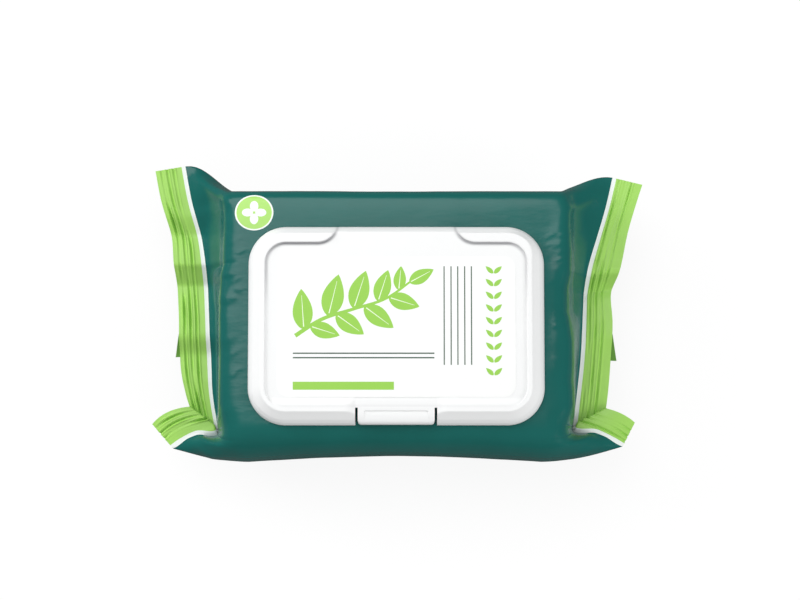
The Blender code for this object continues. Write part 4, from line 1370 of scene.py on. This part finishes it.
label_edge = rounded_outline(
    LABEL_LENGTH / 2, LABEL_WIDTH / 2, LABEL_CORNER, LABEL_CENTRE_Y, 16
) / MM
shapes = label_print()
points = []
outlines = []
for outline in [label_edge] + [outline for _, outline in shapes]:
    outlines.append(list(range(len(points), len(points) + len(outline))))
    points += [Vector(point) for point in outline]
flat_points, _, triangles, _, _, sources = delaunay_2d_cdt(points, [], outlines, 1, 1e-5)
label_mesh = bpy.data.meshes.new("cover_label_print")
body = bmesh.new()
tops = [body.verts.new((point.x * MM, point.y * MM, LABEL_TOP)) for point in flat_points]
for triangle, source in zip(triangles, sources):
    face = body.faces.new([tops[corner] for corner in triangle])
    over = max(source)
    face.material_index = shapes[over - 1][0] if over else 0
body.from_mesh(loops_mesh("label_edge", [
    raised(label_edge * MM, level) for level in (LABEL_BOTTOM, LABEL_TOP)
]))
upper_cap = [
    face for face in body.faces
    if len(face.verts) > 4 and face.calc_center_median().z > (LABEL_BOTTOM + LABEL_TOP) / 2
]
bmesh.ops.delete(body, geom=upper_cap, context="FACES_ONLY")
body.to_mesh(label_mesh)
body.free()
tidy_mesh(label_mesh, 40)
label_film = label_stock("white_label_film", "F2F3F2", "F0F1F0", 0.4)
green_ink = label_stock("green_flexo_ink", "9AD152", "93CB4D", 0.42)
dark_ink = label_stock("grey_green_flexo_ink", "3F5C4A", "3A5645", 0.42)
pale_ink = label_stock("pale_green_flexo_ink", "EAF6DA", "E4F2D2", 0.42)
cover_label = piece(
    label_mesh, "cover", "label_film", label_film, green_ink, dark_ink, pale_ink
)
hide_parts("cover_label")

# Studio
# A seamless white table under one large soft lamp, behind and to the left of the pack,
# with a fill at each end that leaves no gloss, and a pale room around.

FLOOR_HALF = 4
FLOOR_GLOW = 0.88
ROOM_LIGHT = 0.57
ROOM_GLOSS = 0.07
LAMP_TARGET = (0, 0, 0.03)
CAMERA_LENS = 97.65
CAMERA_AIM = (1.7, 10.8, 26)
CAMERA_ELEVATION = 84

corners = bar(-FLOOR_HALF, FLOOR_HALF, -FLOOR_HALF, FLOOR_HALF)
floor_mesh = bpy.data.meshes.new("table_sweep")
floor_mesh.from_pydata([(x, y, 0) for x, y in corners], [], [(0, 1, 2, 3)])
floor = add_object("table_sweep", floor_mesh)


# Matt white paper sweep. Seen by the camera it is lifted to white, and it still takes a
# soft shadow under the pack; it throws little light back, as flags stand round the set.
# Its fibres are drawn at about 3 mm.
made, tree = new_material("matt_white_paper_sweep")
place = (add_node(tree, "TexCoord"), "Object")
fibre = {"Scale": 1 / (3.33 * MM), "Detail": 2.0}
fibre = add_node(tree, "TexNoise", fibre, {"Vector": place})
rays = add_node(tree, "LightPath")
paper = {"data_type": "RGBA", 6: from_hex("6A6A6A"), 7: from_hex("FFFFFF")}
paper = add_node(tree, "Mix", paper, {0: (rays, "Is Camera Ray")})
tint = {"data_type": "RGBA", "blend_type": "MULTIPLY", 0: 0.02}
tint = add_node(tree, "Mix", tint, {6: (paper, 2), 7: (fibre, 0)})
matt = add_node(tree, "BsdfDiffuse", links={"Color": (tint, 2)})
glow = add_node(tree, "Emission", {"Color": (1, 1, 1, 1), "Strength": 1.0})
share = {"operation": "MULTIPLY", 1: FLOOR_GLOW}
share = add_node(tree, "Math", share, {0: (rays, "Is Camera Ray")})
mixed = add_node(tree, "MixShader", links={0: (share, 0), 1: (matt, 0), 2: (glow, 0)})
add_node(tree, "OutputMaterial", links={"Surface": (mixed, 0)})
floor_mesh.materials.append(made)


def turn_to(item, target):
    item.rotation_euler = (Vector(target) - item.location).to_track_quat("-Z", "Y").to_euler()


def lamp(name, place, size, power):
    light = bpy.data.lights.new(name, "AREA")
    light.shape = "DISK"
    light.size = size
    light.energy = power
    item = add_object(name, light)
    item.location = place
    turn_to(item, LAMP_TARGET)
    item.visible_camera = False
    return item


lamp("rear_softbox", (-0.304, 0.621, 1.219), 1.26, 7.9)
lamp("left_fill", (-1.05, 0.5, 0.5), 0.7, 7.6).visible_glossy = False
lamp("right_fill", (1.0, -0.6, 0.5), 0.7, 6.0).visible_glossy = False

# The room: even light for the matt surfaces, almost nothing to mirror in the gloss, and
# white where the camera looks past the table.
world = bpy.data.worlds.new("pale_room")
bpy.context.scene.world = world
world.use_nodes = True
tree = world.node_tree
background = tree.nodes["Background"]
background.inputs["Color"].default_value = (1, 1, 1, 1)
rays = add_node(tree, "LightPath")
strength = add_node(
    tree, "MapRange", {"To Min": ROOM_LIGHT, "To Max": ROOM_GLOSS},
    {"Value": (rays, "Is Glossy Ray")},
)
seen = {0: (strength, 0), 1: (rays, "Is Camera Ray")}
seen = add_node(tree, "Math", {"operation": "MAXIMUM"}, seen)
tree.links.new(seen.outputs[0], background.inputs["Strength"])

camera_data = bpy.data.cameras.new("photo_camera")
camera_data.lens = CAMERA_LENS
camera_data.sensor_width = 36
camera_data.clip_start = 0.01
camera = add_object("photo_camera", camera_data)
aim = Vector(CAMERA_AIM) * MM
elevation = math.radians(CAMERA_ELEVATION)
camera.location = aim + Vector((0, -math.cos(elevation), math.sin(elevation)))
turn_to(camera, aim)
bpy.context.scene.camera = camera
bpy.context.scene.view_settings.view_transform = "Standard"

bpy.context.view_layer.update()
